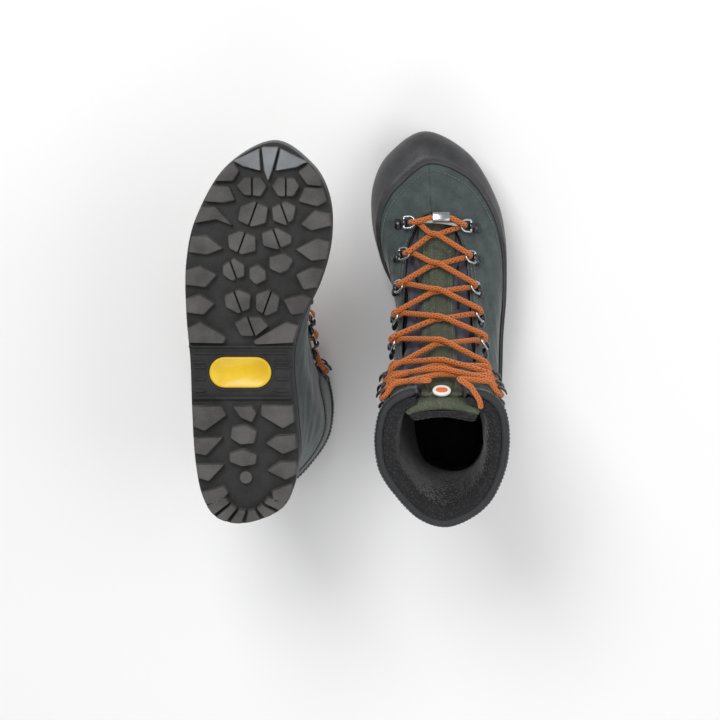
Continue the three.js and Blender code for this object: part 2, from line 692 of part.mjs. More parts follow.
// The lace's ends: one is a short stub on the inner side, the other drops into the collar.
const STUB = [[0.985, 0.53, 7], [0.995, 0.56, 8]];
const TAIL = [[0.99, 0.46, 9], [1.02, 0.42, 4], [1.022, 0.38, -6], [1.02, 0.355, -13]];

function laceRoute() {
  const onSkin = (points) => points.map(([up, around, out]) => offSkin(up, around, out));
  return [
    ...onSkin(STUB).toReversed(),
    ...strand(1).toReversed(),
    ...bridge(),
    ...strand(-1),
    ...onSkin(TAIL),
  ];
}

const lace = () => tube(laceRoute(), LACE / 2, 5);

function tag() {
  const [from, to] = bridge();
  const x = to.clone().sub(from).normalize();
  const z = skinNormal(BRIDGE_UP, BRIDGE_AROUND);
  z.addScaledVector(x, -z.dot(x)).normalize();
  const frame = new THREE.Matrix4().makeBasis(x, z.clone().cross(x), z);
  frame.setPosition(from.add(to).multiplyScalar(0.5));
  const bore = new THREE.CylinderGeometry(LACE / 2 + 0.5, LACE / 2 + 0.5, TAG.length + 2, 8);
  const body = box(TAG.length, TAG.width, TAG.height, 0, 0, 0);
  return moved(body.subtract(solid(bore.rotateZ(Math.PI / 2))), frame);
}

// ---------- finishes ----------
const finish = (color, roughness, metalness = 0) =>
  new THREE.MeshStandardMaterial({ color, roughness, metalness });
const RUBBER = finish("#4a4a49", 0.85);
const BADGE = finish("#e3bd0e", 0.5);
const FOAM = finish("#3c3c3e", 0.8);
const BOARD_TONE = finish("#8b8378", 0.9);
const FELT = finish("#2d2d30", 0.95);
const RAND_RUBBER = finish("#3a3a3c", 0.6);
const NUBUCK = finish("#4b5655", 0.95);
const KNIT = finish("#1d1d1f", 0.95);
const LEATHER = finish("#5c6350", 0.7);
const STIFF = finish("#9a917f", 0.8);
const STEEL = finish("#b8bbbd", 0.3, 1);
const GUNMETAL = finish("#4a4c50", 0.35, 1);
const CORD = finish("#e2692a", 0.85);

// ---------- one boot, in its own frame ----------
function boot(name) {
  const group = new THREE.Group();
  const add = (part, piece, material, matrix = null) => {
    const mesh = new THREE.Mesh(geometryOf(piece), material);
    mesh.name = `${name}_${part}`;
    if (matrix) {
      mesh.position.setFromMatrixPosition(matrix);
      mesh.quaternion.setFromRotationMatrix(matrix);
    }
    group.add(mesh);
  };
  add("outsole", outsole(), RUBBER);
  add("sole_badge", badge(), BADGE);
  add("midsole", midsole(), FOAM);
  add("insole_board", insoleBoard(), BOARD_TONE);
  add("footbed", footbed(), FELT);
  add("rand", rand(), RAND_RUBBER);
  add("upper", upper(), NUBUCK);
  add("toe_puff", stiffener(block(250, SOLE_LENGTH, 58)), STIFF);
  add("heel_counter", stiffener(block(-20, 52, 82)), STIFF);
  add("lining", lining(), KNIT);
  add("tongue", tongue(), KNIT);
  add("tongue_pad", tonguePad(), LEATHER);
  add("lace", lace(), CORD);
  add("lace_tag", tag(), STEEL);
  for (const [side, sign] of Object.entries(SIDES)) {
    for (let row = 0; row < ROWS.length; row++) {
      if (row < RINGS) add(`ring_${side}_${row + 1}`, ring(), STEEL, seat(row, sign, RING_LIFT));
      else add(`hook_${side}_${row - RINGS + 1}`, hook(row, sign), GUNMETAL);
    }
  }
  return group;
}

// ---------- the pair ----------
// The medial sides face each other; the second boot is turned over about its length.
const REACH_INWARDS = 0.495 * BALL_WIDTH + BOOT_GAP / 2;
const standing = boot("standing");
standing.position.set(REACH_INWARDS, STAGGER, 0);
const turned = boot("turned");
turned.rotation.y = Math.PI;
turned.position.x = -REACH_INWARDS;
turned.position.z = new THREE.Box3().setFromObject(standing).max.z;

const pair = new THREE.Group().add(standing, turned);
const bounds = new THREE.Box3().setFromObject(pair);
const middle = bounds.getCenter(new THREE.Vector3());
pair.position.set(-middle.x, -middle.y, -bounds.min.z);

export default new THREE.Group().add(pair);
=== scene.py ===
"""A pair of lace-up mountaineering boots: one stands on its lugs, the other lies tread up.

Each boot is worked out in its own frame in millimetres, +X to the outer side, +Y from heel to toe
and +Z up from the ground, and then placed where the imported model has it.
"""
from __future__ import annotations

import logging
import math
from dataclasses import dataclass, field
from enum import Enum
from typing import Any, Callable, Iterable, Sequence

import bmesh
import bpy
import numpy as np
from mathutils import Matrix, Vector


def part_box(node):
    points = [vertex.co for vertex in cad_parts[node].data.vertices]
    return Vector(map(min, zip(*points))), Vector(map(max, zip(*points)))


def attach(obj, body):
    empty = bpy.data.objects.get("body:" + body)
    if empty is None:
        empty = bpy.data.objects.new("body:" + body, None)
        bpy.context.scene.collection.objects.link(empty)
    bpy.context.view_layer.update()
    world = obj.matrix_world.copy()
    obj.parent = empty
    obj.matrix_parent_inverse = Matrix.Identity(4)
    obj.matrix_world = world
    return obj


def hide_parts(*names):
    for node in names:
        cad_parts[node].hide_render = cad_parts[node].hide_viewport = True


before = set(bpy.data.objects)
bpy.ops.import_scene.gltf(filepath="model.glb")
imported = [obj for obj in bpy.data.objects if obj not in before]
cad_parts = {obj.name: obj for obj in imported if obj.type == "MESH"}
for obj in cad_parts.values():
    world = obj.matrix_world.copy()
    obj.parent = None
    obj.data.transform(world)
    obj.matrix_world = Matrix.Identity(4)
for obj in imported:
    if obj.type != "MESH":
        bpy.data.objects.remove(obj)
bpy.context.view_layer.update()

LOG = logging.getLogger("boots")
Array = np.ndarray
MM = 0.001


# ---------------------------------------------------------------------------------------------
# curves and surfaces
# ---------------------------------------------------------------------------------------------
def spline(values: Sequence[float], u: Array, closed: bool = False) -> Array:
    """Uniform Catmull-Rom curve through a list of numbers.

    Args:
        values: The numbers the curve passes through at even steps of u.
        u: Where to read the curve, 0 to 1 over the list.
        closed: Whether the list wraps round.

    Returns:
        The curve's values at u.
    """
    table = np.asarray(values, dtype=float)
    u = np.asarray(u, dtype=float)
    last = len(table) if closed else len(table) - 1
    place = (u - np.floor(u) if closed else np.clip(u, 0.0, 1.0)) * last
    i = np.minimum(np.floor(place).astype(int), last - 1)
    w = place - i

    def at(k: Array) -> Array:
        """The list's value at an index that wraps or stops at the ends."""
        return table[k % len(table)] if closed else table[np.clip(k, 0, last)]

    a, b, c, d = at(i - 1), at(i), at(i + 1), at(i + 2)
    v0, v1 = (c - a) / 2, (d - b) / 2
    return (2 * b - 2 * c + v0 + v1) * w**3 + (3 * (c - b) - 2 * v0 - v1) * w**2 + v0 * w + b


def smoothstep(x: Array, low: float, high: float) -> Array:
    """A smooth rise from 0 at low to 1 at high."""
    t = np.clip((np.asarray(x, dtype=float) - low) / (high - low), 0.0, 1.0)
    return t * t * (3 - 2 * t)


def unit(vectors: Array) -> Array:
    """Vectors scaled to length 1 along the last axis."""
    return vectors / np.maximum(np.linalg.norm(vectors, axis=-1, keepdims=True), 1e-12)


def circle(count: int) -> Array:
    """Angles evenly round a full turn."""
    return np.linspace(0, 2 * np.pi, count, endpoint=False)


def run_along(line: Array) -> Array:
    """The length from a line's start to each of its points."""
    return np.concatenate([[0.0], np.cumsum(np.linalg.norm(np.diff(line, axis=0), axis=1))])


def frame_at(x: Array, z: Array, origin: Array) -> Array:
    """A 4 by 4 frame from its x and z directions and its origin."""
    matrix = np.eye(4)
    matrix[:3, 0], matrix[:3, 1], matrix[:3, 2], matrix[:3, 3] = x, np.cross(z, x), z, origin
    return matrix


def moved(points: Array, seat: Array) -> Array:
    """Points of a frame in the boot's frame."""
    return points @ seat[:3, :3].T + seat[:3, 3]


# ---------------------------------------------------------------------------------------------
# the boot's form
# ---------------------------------------------------------------------------------------------
SOLE_POINTS = np.array([
    (0.085, 0), (0.29, 0.012), (0.395, 0.07), (0.444, 0.17), (0.462, 0.3),
    (0.47, 0.43), (0.495, 0.56), (0.492, 0.69), (0.42, 0.81), (0.22, 0.935),
    (-0.103, 1), (-0.36, 0.94), (-0.475, 0.86), (-0.495, 0.76), (-0.43, 0.65),
    (-0.28, 0.53), (-0.218, 0.42), (-0.245, 0.28), (-0.262, 0.15), (-0.17, 0.045),
])
COLLAR_POINTS = np.array([
    (0, 0), (0.19, 0.06), (0.345, 0.19), (0.445, 0.4), (0.476, 0.61),
    (0.462, 0.777), (0.419, 0.884), (0.333, 0.955), (0.229, 0.982), (0.114, 0.996),
    (-0.029, 1), (-0.171, 0.996), (-0.286, 0.982), (-0.39, 0.938), (-0.476, 0.857),
    (-0.514, 0.741), (-0.524, 0.589), (-0.486, 0.4), (-0.36, 0.22), (-0.19, 0.06),
])
RECEDE = (0, 0, 0.015, 0.06, 0.135, 0.225, 0.32, 0.42, 0.53, 0.65, 0.77, 0.87, 0.94, 0.98, 1)
BULGE = (0, 2.4, 2.2, 1, 0, 0, 0, 0, 0, 0, 0, 0, 0, 0, 0)
PINCH = (0, 0, 0.02, 0.05, 0.11, 0.17, 0.22, 0.25, 0.26, 0.24, 0.19, 0.13, 0.07, 0.03, 0)
HEEL_IN = (0, 0, 0, 2, 4, 7, 10, 12, 13.5, 14, 13, 10, 7, 3, 0)
FRONT_RISE = (
    0, 0.071, 0.141, 0.19, 0.223, 0.25, 0.283, 0.329, 0.391, 0.473, 0.576, 0.69, 0.804, 0.908, 1,
)
BACK_RISE = (
    0, 0.061, 0.134, 0.2, 0.268, 0.33, 0.384, 0.44, 0.494, 0.561, 0.64, 0.726, 0.823, 0.915, 1,
)


@dataclass(frozen=True)
class Last:
    """The form that the boot is built on, and its skin.

    The skin is a function of a height share up, 0 at the sole's feather edge and 1 at the collar,
    and a share around, 0 at the middle of the back, 0.25 on the outer side and 0.5 at the front.
    """

    sole_length: float = 306.0
    ball_width: float = 117.0
    collar_length: float = 114.0
    collar_width: float = 105.0
    collar_front: float = 204.0
    collar_back: float = 192.0
    collar_back_y: float = -8.0
    lug_depth: float = 5.5
    tread_base: float = 4.5
    midsole_toe: float = 8.0
    midsole_heel: float = 17.0
    toe_spring: float = 10.0
    spring_start: float = 0.66
    feather_inset: float = 4.0
    clear: float = 0.3

    @property
    def tread_top(self) -> float:
        """Height of the outsole's upper face."""
        return self.lug_depth + self.tread_base

    @property
    def feather_toe(self) -> float:
        """Height at which the upper meets the sole under the toe."""
        return self.tread_top + self.midsole_toe + 2 * self.clear

    @property
    def feather_heel(self) -> float:
        """Height at which the upper meets the sole under the heel."""
        return self.tread_top + self.midsole_heel + 2 * self.clear

    @property
    def axis(self) -> float:
        """The throat's middle line."""
        return -0.025 * self.ball_width

    def spring(self, y: Array) -> Array:
        """Height by which the toe spring raises a place: a parabola from its start."""
        start = self.spring_start * self.sole_length
        return self.toe_spring * (np.maximum(y - start, 0) / (self.sole_length - start)) ** 2

    def feather(self, y: Array) -> Array:
        """Height of the midsole's top along the boot, without the spring."""
        share = np.clip(y / self.sole_length, 0, 1)
        return self.feather_heel + (self.feather_toe - self.feather_heel) * share

    def sole_edge(self, around: Array, inset: Array | float = 0.0) -> Array:
        """The sole's outline moved inwards along its own normal, as x and y.

        Args:
            around: Shares round the outline.
            inset: How far inwards.

        Returns:
            The points, with x and y on the last axis.
        """
        def at(u: Array) -> Array:
            """The outline itself."""
            return np.stack([
                spline(SOLE_POINTS[:, 0], u, True) * self.ball_width,
                spline(SOLE_POINTS[:, 1], u, True) * self.sole_length,
            ], axis=-1)

        along = unit(at(around + 0.002) - at(around - 0.002))
        inwards = np.stack([-along[..., 1], along[..., 0]], axis=-1)
        return at(around) + inwards * np.asarray(inset)[..., None]

    def skin(self, up: Array, around: Array) -> Array:
        """The upper's skin: the sole's outline sliding back and up into the collar's outline."""
        up, around = np.broadcast_arrays(np.asarray(up, float), np.asarray(around, float))
        recede = spline(RECEDE, up)
        foot = self.sole_edge(around, self.feather_inset - spline(BULGE, up))
        collar_x = spline(COLLAR_POINTS[:, 0], around, True) * self.collar_width
        collar_share = spline(COLLAR_POINTS[:, 1], around, True)
        foot_share = foot[..., 1] / self.sole_length
        forward = np.clip(foot_share + (collar_share - foot_share) * recede, 0, 1)
        back_z = self.feather_heel + (self.collar_back - self.feather_heel) * spline(BACK_RISE, up)
        front_z = self.feather_toe + (self.collar_front - self.feather_toe) * spline(FRONT_RISE, up)
        x = foot[..., 0] + (collar_x - foot[..., 0]) * recede
        x = x - (x - self.axis) * spline(PINCH, up) * smoothstep(forward, 0.45, 0.8)
        collar_y = self.collar_back_y + collar_share * self.collar_length
        y = foot[..., 1] + (collar_y - foot[..., 1]) * recede + spline(HEEL_IN, up) * (1 - forward) ** 2
        z = back_z + (front_z - back_z) * forward + self.spring(y)
        return np.stack([x, y, z], axis=-1)

    def normal(self, up: Array, around: Array) -> Array:
        """The skin's outward unit normal."""
        low = np.clip(np.asarray(up, float) - 0.01, 0, 0.98)
        rise = self.skin(low + 0.02, around) - self.skin(low, around)
        turn = self.skin(up, around + 0.004) - self.skin(up, around - 0.004)
        return unit(np.cross(turn, rise))

    def off(self, up: Array, around: Array, out: Array | float) -> Array:
        """Points at a distance out from the skin; past the collar's edge they go straight up."""
        up, around = np.broadcast_arrays(np.asarray(up, float), np.asarray(around, float))
        rim = np.clip(up, 0, 1)
        point = self.skin(rim, around) + self.normal(rim, around) * np.asarray(out)[..., None]
        point[..., 2] += (up - rim) * self.collar_front
        return point

    def around_at(self, up: Array, side: float, half: Array) -> Array:
        """Where the skin at a height is a distance to one side of the throat's middle line.

        Args:
            up: Height shares.
            side: 1 on the outer side, -1 on the inner side.
            half: Distances from the middle line.

        Returns:
            The shares around, found by halving.
        """
        up, half = np.broadcast_arrays(np.asarray(up, float), np.asarray(half, float))
        front = np.full(up.shape, 0.5)
        back = np.full(up.shape, 0.25 if side > 0 else 0.75)
        for _ in range(26):
            middle = (front + back) / 2
            wide = (self.skin(up, middle)[..., 0] - self.axis) * side > half
            back = np.where(wide, middle, back)
            front = np.where(wide, front, middle)
        return (front + back) / 2

    def seat(self, up: float, half: float, side: float, lift: float) -> Array:
        """A 4 by 4 frame on the skin: x towards the throat's middle, z outwards."""
        around = self.around_at(np.array(up), side, np.array(half))
        z = self.normal(np.array(up), around)
        x = unit(np.array([-side, 0.0, 0.0]) + z * side * z[0])
        return frame_at(x, z, self.off(np.array(up), around, lift))


LAST = Last()


# ---------------------------------------------------------------------------------------------
# making meshes
# ---------------------------------------------------------------------------------------------
class Stance(Enum):
    """How a boot is placed; each value is the start of its nodes' names."""

    STANDING = "standing"
    TURNED = "turned"


@dataclass(frozen=True)
class Placement:
    """Where a boot is: its stance and the offset from its own frame, in millimetres."""

    stance: Stance
    offset: tuple[float, float, float]

    @classmethod
    def of(cls, stance: Stance) -> "Placement":
        """Reads a boot's place from its packed outsole, whose outline the form gives."""
        low, high = (np.array(corner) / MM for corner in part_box(f"{stance.value}_outsole"))
        edge = LAST.sole_edge(np.arange(24) / 24)
        middle = (edge.min(axis=0) + edge.max(axis=0)) / 2
        centre = (low + high) / 2
        if stance is Stance.STANDING:
            return cls(stance, (centre[0] - middle[0], centre[1] - middle[1], low[2]))
        return cls(stance, (centre[0] + middle[0], centre[1] - middle[1], high[2]))

    @property
    def body(self) -> str:
        """The body that the boot's pieces ride on."""
        return "root" if self.stance is Stance.STANDING else "turned_boot"

    def name(self, part: str) -> str:
        """A piece's or node's full name."""
        return f"{self.stance.value}_{part}"

    def world(self, points: Array) -> Array:
        """Points of the boot's frame in the row's frame, in metres."""
        turn = np.array([1.0, 1.0, 1.0] if self.stance is Stance.STANDING else [-1.0, 1.0, -1.0])
        return (points * turn + np.array(self.offset)) * MM


def grid_quads(rows: int, columns: int, close_rows: bool, close_columns: bool) -> Array:
    """The quads of a grid of points, numbered row by row.

    Args:
        rows: How many rows of points.
        columns: How many points a row has.
        close_rows: Whether the last row joins the first.
        close_columns: Whether each row closes on itself.

    Returns:
        An n by 4 array of point numbers, wound so that columns x rows points outwards.
    """
    i = np.arange(rows if close_rows else rows - 1)[:, None]
    j = np.arange(columns if close_columns else columns - 1)[None, :]
    i2, j2 = (i + 1) % rows, (j + 1) % columns
    corners = [i * columns + j, i * columns + j2, i2 * columns + j2, i2 * columns + j]
    return np.stack([np.broadcast_to(c, (i.size, j.size)).ravel() for c in corners], axis=1)


@dataclass
class Solid:
    """Points and faces gathered for one piece, in the boot's frame."""

    points: list[Array] = field(default_factory=list)
    faces: list[list[int]] = field(default_factory=list)
    uvs: list[Array] = field(default_factory=list)
    count: int = 0

    def add(self, points: Array, faces: Iterable[Sequence[int]], uv: Array | None = None) -> "Solid":
        """Adds points and faces that number them from 0, and returns the solid."""
        flat = points.reshape(-1, 3)
        self.points.append(flat)
        self.uvs.append(np.zeros((len(flat), 2)) if uv is None else uv.reshape(-1, 2))
        self.faces.extend([[int(k) + self.count for k in face] for face in faces])
        self.count += len(flat)
        return self

    def ring_grid(self, rings: Array, uv: Array | None = None) -> "Solid":
        """Adds a grid closed both ways, such as a band with a closed profile."""
        rows, columns = rings.shape[:2]
        return self.add(rings, grid_quads(rows, columns, True, True), uv)

    def tube(self, rings: Array, uv: Array | None = None) -> "Solid":
        """Adds rings that each close on themselves, with a flat cap at each end."""
        rows, columns = rings.shape[:2]
        quads = grid_quads(rows, columns, False, True).tolist()
        last = (rows - 1) * columns
        caps = [list(range(columns))[::-1], [last + k for k in range(columns)]]
        return self.add(rings, quads + caps, uv)

    def loft_up(self, outline: Array, steps: Sequence[tuple[float, float]]) -> "Solid":
        """Adds a solid of one plan outline at several heights.

        Args:
            outline: x and y of the outline, counter-clockwise from above.
            steps: For each ring, how much it is shrunk about its middle in mm, and its height.
        """
        middle = outline.mean(axis=0)
        out = outline - middle
        reach = np.maximum(np.linalg.norm(out, axis=1, keepdims=True), 1e-6)
        rings = []
        for shrink, height in steps:
            plan = middle + out * np.maximum(1 - shrink / reach, 0.05)
            rings.append(np.column_stack([plan, np.full(len(plan), height)]))
        return self.tube(np.array(rings))

    def piece(self, place: Placement, part: str, finish: "Finish", body: str | None = None,
              replaces: Sequence[str] = (), smooth: bool = True) -> bpy.types.Object:
        """Makes the Blender object, dresses it and lets it ride.

        Args:
            place: The boot's placement.
            part: The piece's name without the boot's.
            finish: What it is made of.
            body: The body it rides on, or None for the boot's own.
            replaces: The CAD nodes it stands for, without the boot's name.
            smooth: Whether its faces are shaded smooth.

        Returns:
            The new object.
        """
        mesh = bpy.data.meshes.new(place.name(part))
        mesh.from_pydata(place.world(np.concatenate(self.points)).tolist(), [], self.faces)
        if any(uv.any() for uv in self.uvs):
            layer = mesh.uv_layers.new(name="run")
            corners = np.empty(len(mesh.loops), dtype=np.int32)
            mesh.loops.foreach_get("vertex_index", corners)
            layer.data.foreach_set("uv", np.concatenate(self.uvs)[corners].ravel())
        mesh.polygons.foreach_set("use_smooth", np.full(len(mesh.polygons), smooth))
        mesh.update()
        piece = bpy.data.objects.new(place.name(f"{part}_look"), mesh)
        bpy.context.scene.collection.objects.link(piece)
        piece.data.materials.append(finish.material())
        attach(piece, body or place.body)
        if replaces:
            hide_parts(*[place.name(node) for node in replaces])
        LOG.info("%s: %d faces", piece.name, len(mesh.polygons))
        return piece


def tube_rings(path: Array, radius: Array | float, sides: int, closed: bool = False,
               lean: Array | None = None, flat: float = 1.0) -> Array:
    """Rings of points round a path, each turned as little as possible from the last.

    Args:
        path: The centre line, n by 3.
        radius: The tube's radius along it.
        sides: Points in a ring.
        closed: Whether the path closes on itself.
        lean: A direction that the first ring's zero angle leans to.
        flat: The section's height over its width.

    Returns:
        The rings, n by sides by 3.
    """
    if closed:
        along = unit(np.roll(path, -1, axis=0) - np.roll(path, 1, axis=0))
    else:
        along = unit(np.gradient(path, axis=0))
    start = np.array([0.0, 0.0, 1.0]) if lean is None else lean
    normals = np.empty_like(path)
    normal = start
    for i, way in enumerate(along):
        normal = normal - way * normal.dot(way)
        normal = normal / max(np.linalg.norm(normal), 1e-9)
        normals[i] = normal
    across = np.cross(along, normals)
    angle = circle(sides)
    reach = np.broadcast_to(np.asarray(radius, float), (len(path),))[:, None, None]
    return path[:, None] + reach * (
        flat * np.cos(angle)[None, :, None] * normals[:, None]
        + np.sin(angle)[None, :, None] * across[:, None]
    )


def thicken(piece: bpy.types.Object, wall: float) -> None:
    """Gives a sheet its wall, inwards from its face, in mm."""
    merge_doubles(piece)
    solidify = piece.modifiers.new("wall", "SOLIDIFY")
    solidify.thickness = wall * MM
    solidify.offset = -1
    solidify.use_even_offset = False


def merge_doubles(piece: bpy.types.Object) -> None:
    """Joins points of a piece that lie on each other."""
    work = bmesh.new()
    work.from_mesh(piece.data)
    bmesh.ops.remove_doubles(work, verts=work.verts, dist=0.02 * MM)
    work.to_mesh(piece.data)
    work.free()


# ---------------------------------------------------------------------------------------------
# finishes
# ---------------------------------------------------------------------------------------------
def linear(hex_colour: str) -> tuple[float, float, float, float]:
    """An sRGB hex colour as linear red, green, blue and alpha."""
    parts = [int(hex_colour.lstrip("#")[k:k + 2], 16) / 255 for k in (0, 2, 4)]
    turned = [p / 12.92 if p <= 0.04045 else ((p + 0.055) / 1.055) ** 2.4 for p in parts]
    return (turned[0], turned[1], turned[2], 1.0)


def add(tree: bpy.types.NodeTree, kind: str, inputs: dict[Any, Any] | None = None,
        **settings: Any) -> bpy.types.Node:
    """Adds a node with its settings, values and links.

    Args:
        tree: The material's tree.
        kind: The node's type name after ShaderNode.
        inputs: For each input's name or number, a value or the socket it is fed from.
        settings: The node's own properties.

    Returns:
        The node.
    """
    node = tree.nodes.new(f"ShaderNode{kind}")
    for key, value in settings.items():
        setattr(node, key, value)
    for key, value in (inputs or {}).items():
        if isinstance(value, bpy.types.NodeSocket):
            tree.links.new(value, node.inputs[key])
        else:
            node.inputs[key].default_value = value
    return node


def per_mm(size: float) -> float:
    """A texture's scale, in metres' terms, for features of a size in mm."""
    return 1000.0 / size


BRAID_SHADOW = "#b8481a"  # between the strands of a plait


class Pattern(Enum):
    """What a surface's fine relief is like."""

    NAP = "the short velvet pile of sanded leather"
    GRAIN = "the creased cells of smooth leather"
    STIPPLE = "the pimpled face of moulded rubber"
    KNIT = "the open loops of spacer mesh"
    BRAID = "the plaited sheath of a cord"
    METAL = "tumbled and plated metal"
    PLAIN = "smooth moulded plastic or board"


@dataclass(frozen=True)
class Finish:
    """A material: its colours, its gloss and its relief, with sizes in mm."""

    name: str
    slot: str
    colour: str
    shade: str
    pattern: Pattern
    roughness: float
    grain: float
    relief: float
    mottle: float = 14.0
    metallic: float = 0.0
    sheen: float = 0.0
    coat: float = 0.0

    def material(self) -> bpy.types.Material:
        """The Blender material, made once for each finish."""
        known = bpy.data.materials.get(self.name)
        if known:
            return known
        made = bpy.data.materials.new(self.name)
        made.use_nodes = True
        tree = made.node_tree
        tree.nodes.clear()
        where = add(tree, "TexCoord").outputs["UV" if self.pattern is Pattern.BRAID else "Object"]
        colour, height, rough = self.surface(tree, where)
        bump = add(tree, "Bump", {"Height": height, "Strength": 1.0, "Distance": self.relief * MM})
        shader = add(tree, "BsdfPrincipled", {
            "Base Color": colour, "Roughness": rough, "Normal": bump.outputs[0],
            "Metallic": self.metallic, "Sheen Weight": self.sheen, "Coat Weight": self.coat,
        })
        shader.inputs["Sheen Roughness"].default_value = 0.4
        shader.inputs["Coat Roughness"].default_value = 0.3
        add(tree, "OutputMaterial", {"Surface": shader.outputs[0]})
        return made

    def surface(self, tree: bpy.types.NodeTree, where: bpy.types.NodeSocket) -> tuple[Any, Any, Any]:
        """Builds the finish's own pattern.

        Args:
            tree: The material's tree.
            where: The coordinates that the pattern is laid on.

        Returns:
            The colour, height and roughness sockets.
        """
        if self.pattern is Pattern.BRAID:
            return self.braid(tree, where)
        cloud = self.noise(tree, where, self.mottle, 4.0)
        fine = self.noise(tree, where, self.grain, 3.0)
        if self.pattern is Pattern.KNIT:
            cells = self.cells(tree, where)
            height = self.ramp(tree, cells.outputs["Distance"], 0.15, 0.55)
            colour = self.mix(tree, height, self.shade, self.colour)
            return colour, height, self.between(tree, cloud, self.roughness, 0.1)
        if self.pattern is Pattern.GRAIN:
            # Darker along the creases between the cells, as painted shade, mixed with random clouds of
            # tone.
            cells = self.cells(tree, where, feature="DISTANCE_TO_EDGE")
            height = self.ramp(tree, cells.outputs["Distance"], 0.0, 0.16)
            blend = add(tree, "Math", {0: cloud, 1: height}, operation="MULTIPLY").outputs[0]
            colour = self.mix(tree, self.ramp(tree, blend, 0.2, 0.62), self.shade, self.colour)
            return colour, height, self.between(tree, cloud, self.roughness, 0.16)
        if self.pattern is Pattern.STIPPLE:
            cells = self.cells(tree, where, feature="SMOOTH_F1")
            height = self.ramp(tree, cells.outputs["Distance"], 0.7, 0.1)
            blend = self.ramp(tree, cloud, 0.34, 0.66)
            colour = self.mix(tree, blend, self.shade, self.colour)
            return colour, height, self.between(tree, fine, self.roughness, 0.14)
        if self.pattern is Pattern.NAP:
            both = add(tree, "Math", {0: cloud, 1: fine}, operation="ADD").outputs[0]
            colour = self.mix(tree, self.ramp(tree, both, 0.72, 1.28), self.shade, self.colour)
            return colour, fine, self.between(tree, cloud, self.roughness, 0.08)
        colour = self.mix(tree, self.ramp(tree, cloud, 0.3, 0.7), self.shade, self.colour)
        return colour, fine, self.between(tree, fine, self.roughness, 0.2)

    def cells(self, tree: bpy.types.NodeTree, where: bpy.types.NodeSocket,
              **settings: Any) -> bpy.types.Node:
        """Scattered cells as large as the finish's grain."""
        return add(tree, "TexVoronoi", {"Vector": where, "Scale": per_mm(self.grain)}, **settings)

    def noise(self, tree: bpy.types.NodeTree, where: bpy.types.NodeSocket, size: float,
              detail: float) -> bpy.types.NodeSocket:
        """Clouded noise with features of a size in mm."""
        node = add(tree, "TexNoise", {"Vector": where, "Scale": per_mm(size), "Detail": detail})
        return node.outputs["Fac"]

    def ramp(self, tree: bpy.types.NodeTree, value: bpy.types.NodeSocket, low: float,
             high: float) -> bpy.types.NodeSocket:
        """The value stretched so that low is 0 and high is 1, and clamped."""
        node = add(tree, "MapRange", {"Value": value, "From Min": low, "From Max": high})
        return node.outputs["Result"]

    def between(self, tree: bpy.types.NodeTree, value: bpy.types.NodeSocket, middle: float,
                swing: float) -> bpy.types.NodeSocket:
        """A roughness that follows the value, half the swing to each side of the middle."""
        low, high = max(middle - swing, 0.05), min(middle + swing, 1.0)
        node = add(tree, "MapRange", {"Value": value, "To Min": low, "To Max": high})
        return node.outputs["Result"]

    def mix(self, tree: bpy.types.NodeTree, share: bpy.types.NodeSocket, low: str,
            high: str) -> bpy.types.NodeSocket:
        """A colour between two, by the share."""
        node = add(tree, "MixRGB", {"Fac": share, "Color1": linear(low), "Color2": linear(high)})
        return node.outputs["Color"]

    def braid(self, tree: bpy.types.NodeTree, where: bpy.types.NodeSocket) -> tuple[Any, Any, Any]:
        """A cord's plait with staggered dark flecks, on a UV map in mm along and round."""
        turned = add(tree, "Mapping", {"Vector": where, "Rotation": (0, 0, math.pi / 4)})
        flecks = add(tree, "TexVoronoi", {
            "Vector": turned.outputs[0], "Scale": 1 / self.mottle, "Randomness": 0.0,
        }, voronoi_dimensions="2D")
        strands = add(tree, "TexVoronoi", {
            "Vector": turned.outputs[0], "Scale": 1 / self.grain, "Randomness": 0.0,
        }, voronoi_dimensions="2D", distance="CHEBYCHEV")
        mask = self.ramp(tree, flecks.outputs["Distance"], 0.27, 0.2)
        height = self.ramp(tree, strands.outputs["Distance"], 0.5, 0.1)
        deep = self.mix(tree, height, BRAID_SHADOW, self.colour)
        colour = add(tree, "MixRGB", {"Fac": mask, "Color1": deep, "Color2": linear(self.shade)})
        return colour.outputs[0], height, self.between(tree, height, self.roughness, 0.08)


# Sanded leather: no gloss, a soft light edge, and clouds where the nap lies another way.
NUBUCK = Finish("slate nubuck leather", "nubuck", "#4d5857", "#343e3e", Pattern.NAP, 0.93, 0.7, 0.25,
                mottle=9, sheen=0.35)
# Smooth leather: closed pores in creased cells give a dull shine; the creases are darkened as painted
# shade.
TONGUE_LEATHER = Finish("olive grain leather", "tongue_leather", "#5c6350", "#3d4335", Pattern.GRAIN,
                        0.62, 1.7, 0.22)
GUSSET = Finish("grey folded microfibre", "knit", "#5a5865", "#3a3942", Pattern.NAP, 0.85, 0.6, 0.2,
                mottle=6, sheen=0.3)
BINDING = Finish("charcoal synthetic leather", "nubuck", "#2e2f32", "#1f2022", Pattern.GRAIN, 0.6,
                 1.3, 0.12)
# Moulded rubber: a matt, slightly greasy face, paler where dust sits in the stipple.
TREAD = Finish("stippled tread rubber", "tread_rubber", "#52514f", "#3b3a39", Pattern.STIPPLE, 0.78,
               1.5, 0.3, mottle=22)
# The tread rubber again, darkened as painted shade: the floor between the lugs and the badge's frame.
SHADED_TREAD = Finish("tread rubber darkened as painted shade", "tread_rubber", "#2b2b2c", "#1f1f20", Pattern.STIPPLE, 0.82,
                1.2, 0.12)
TOE_PLATE = Finish("smooth toe rubber", "tread_rubber", "#777a7c", "#606365", Pattern.STIPPLE, 0.6,
                   1.0, 0.08, mottle=18)
RAND_FACE = Finish("satin rand rubber", "rand_rubber", "#3c3d3f", "#29292b", Pattern.STIPPLE, 0.5,
                   1.1, 0.12, mottle=20)
MIDSOLE = Finish("dense midsole rubber", "midsole", "#414143", "#333335", Pattern.STIPPLE, 0.72, 1.1,
                 0.15)
KNIT = Finish("black spacer mesh", "knit", "#0b0b0d", "#26272b", Pattern.KNIT, 0.85, 2.3, 0.5,
              sheen=0.2)
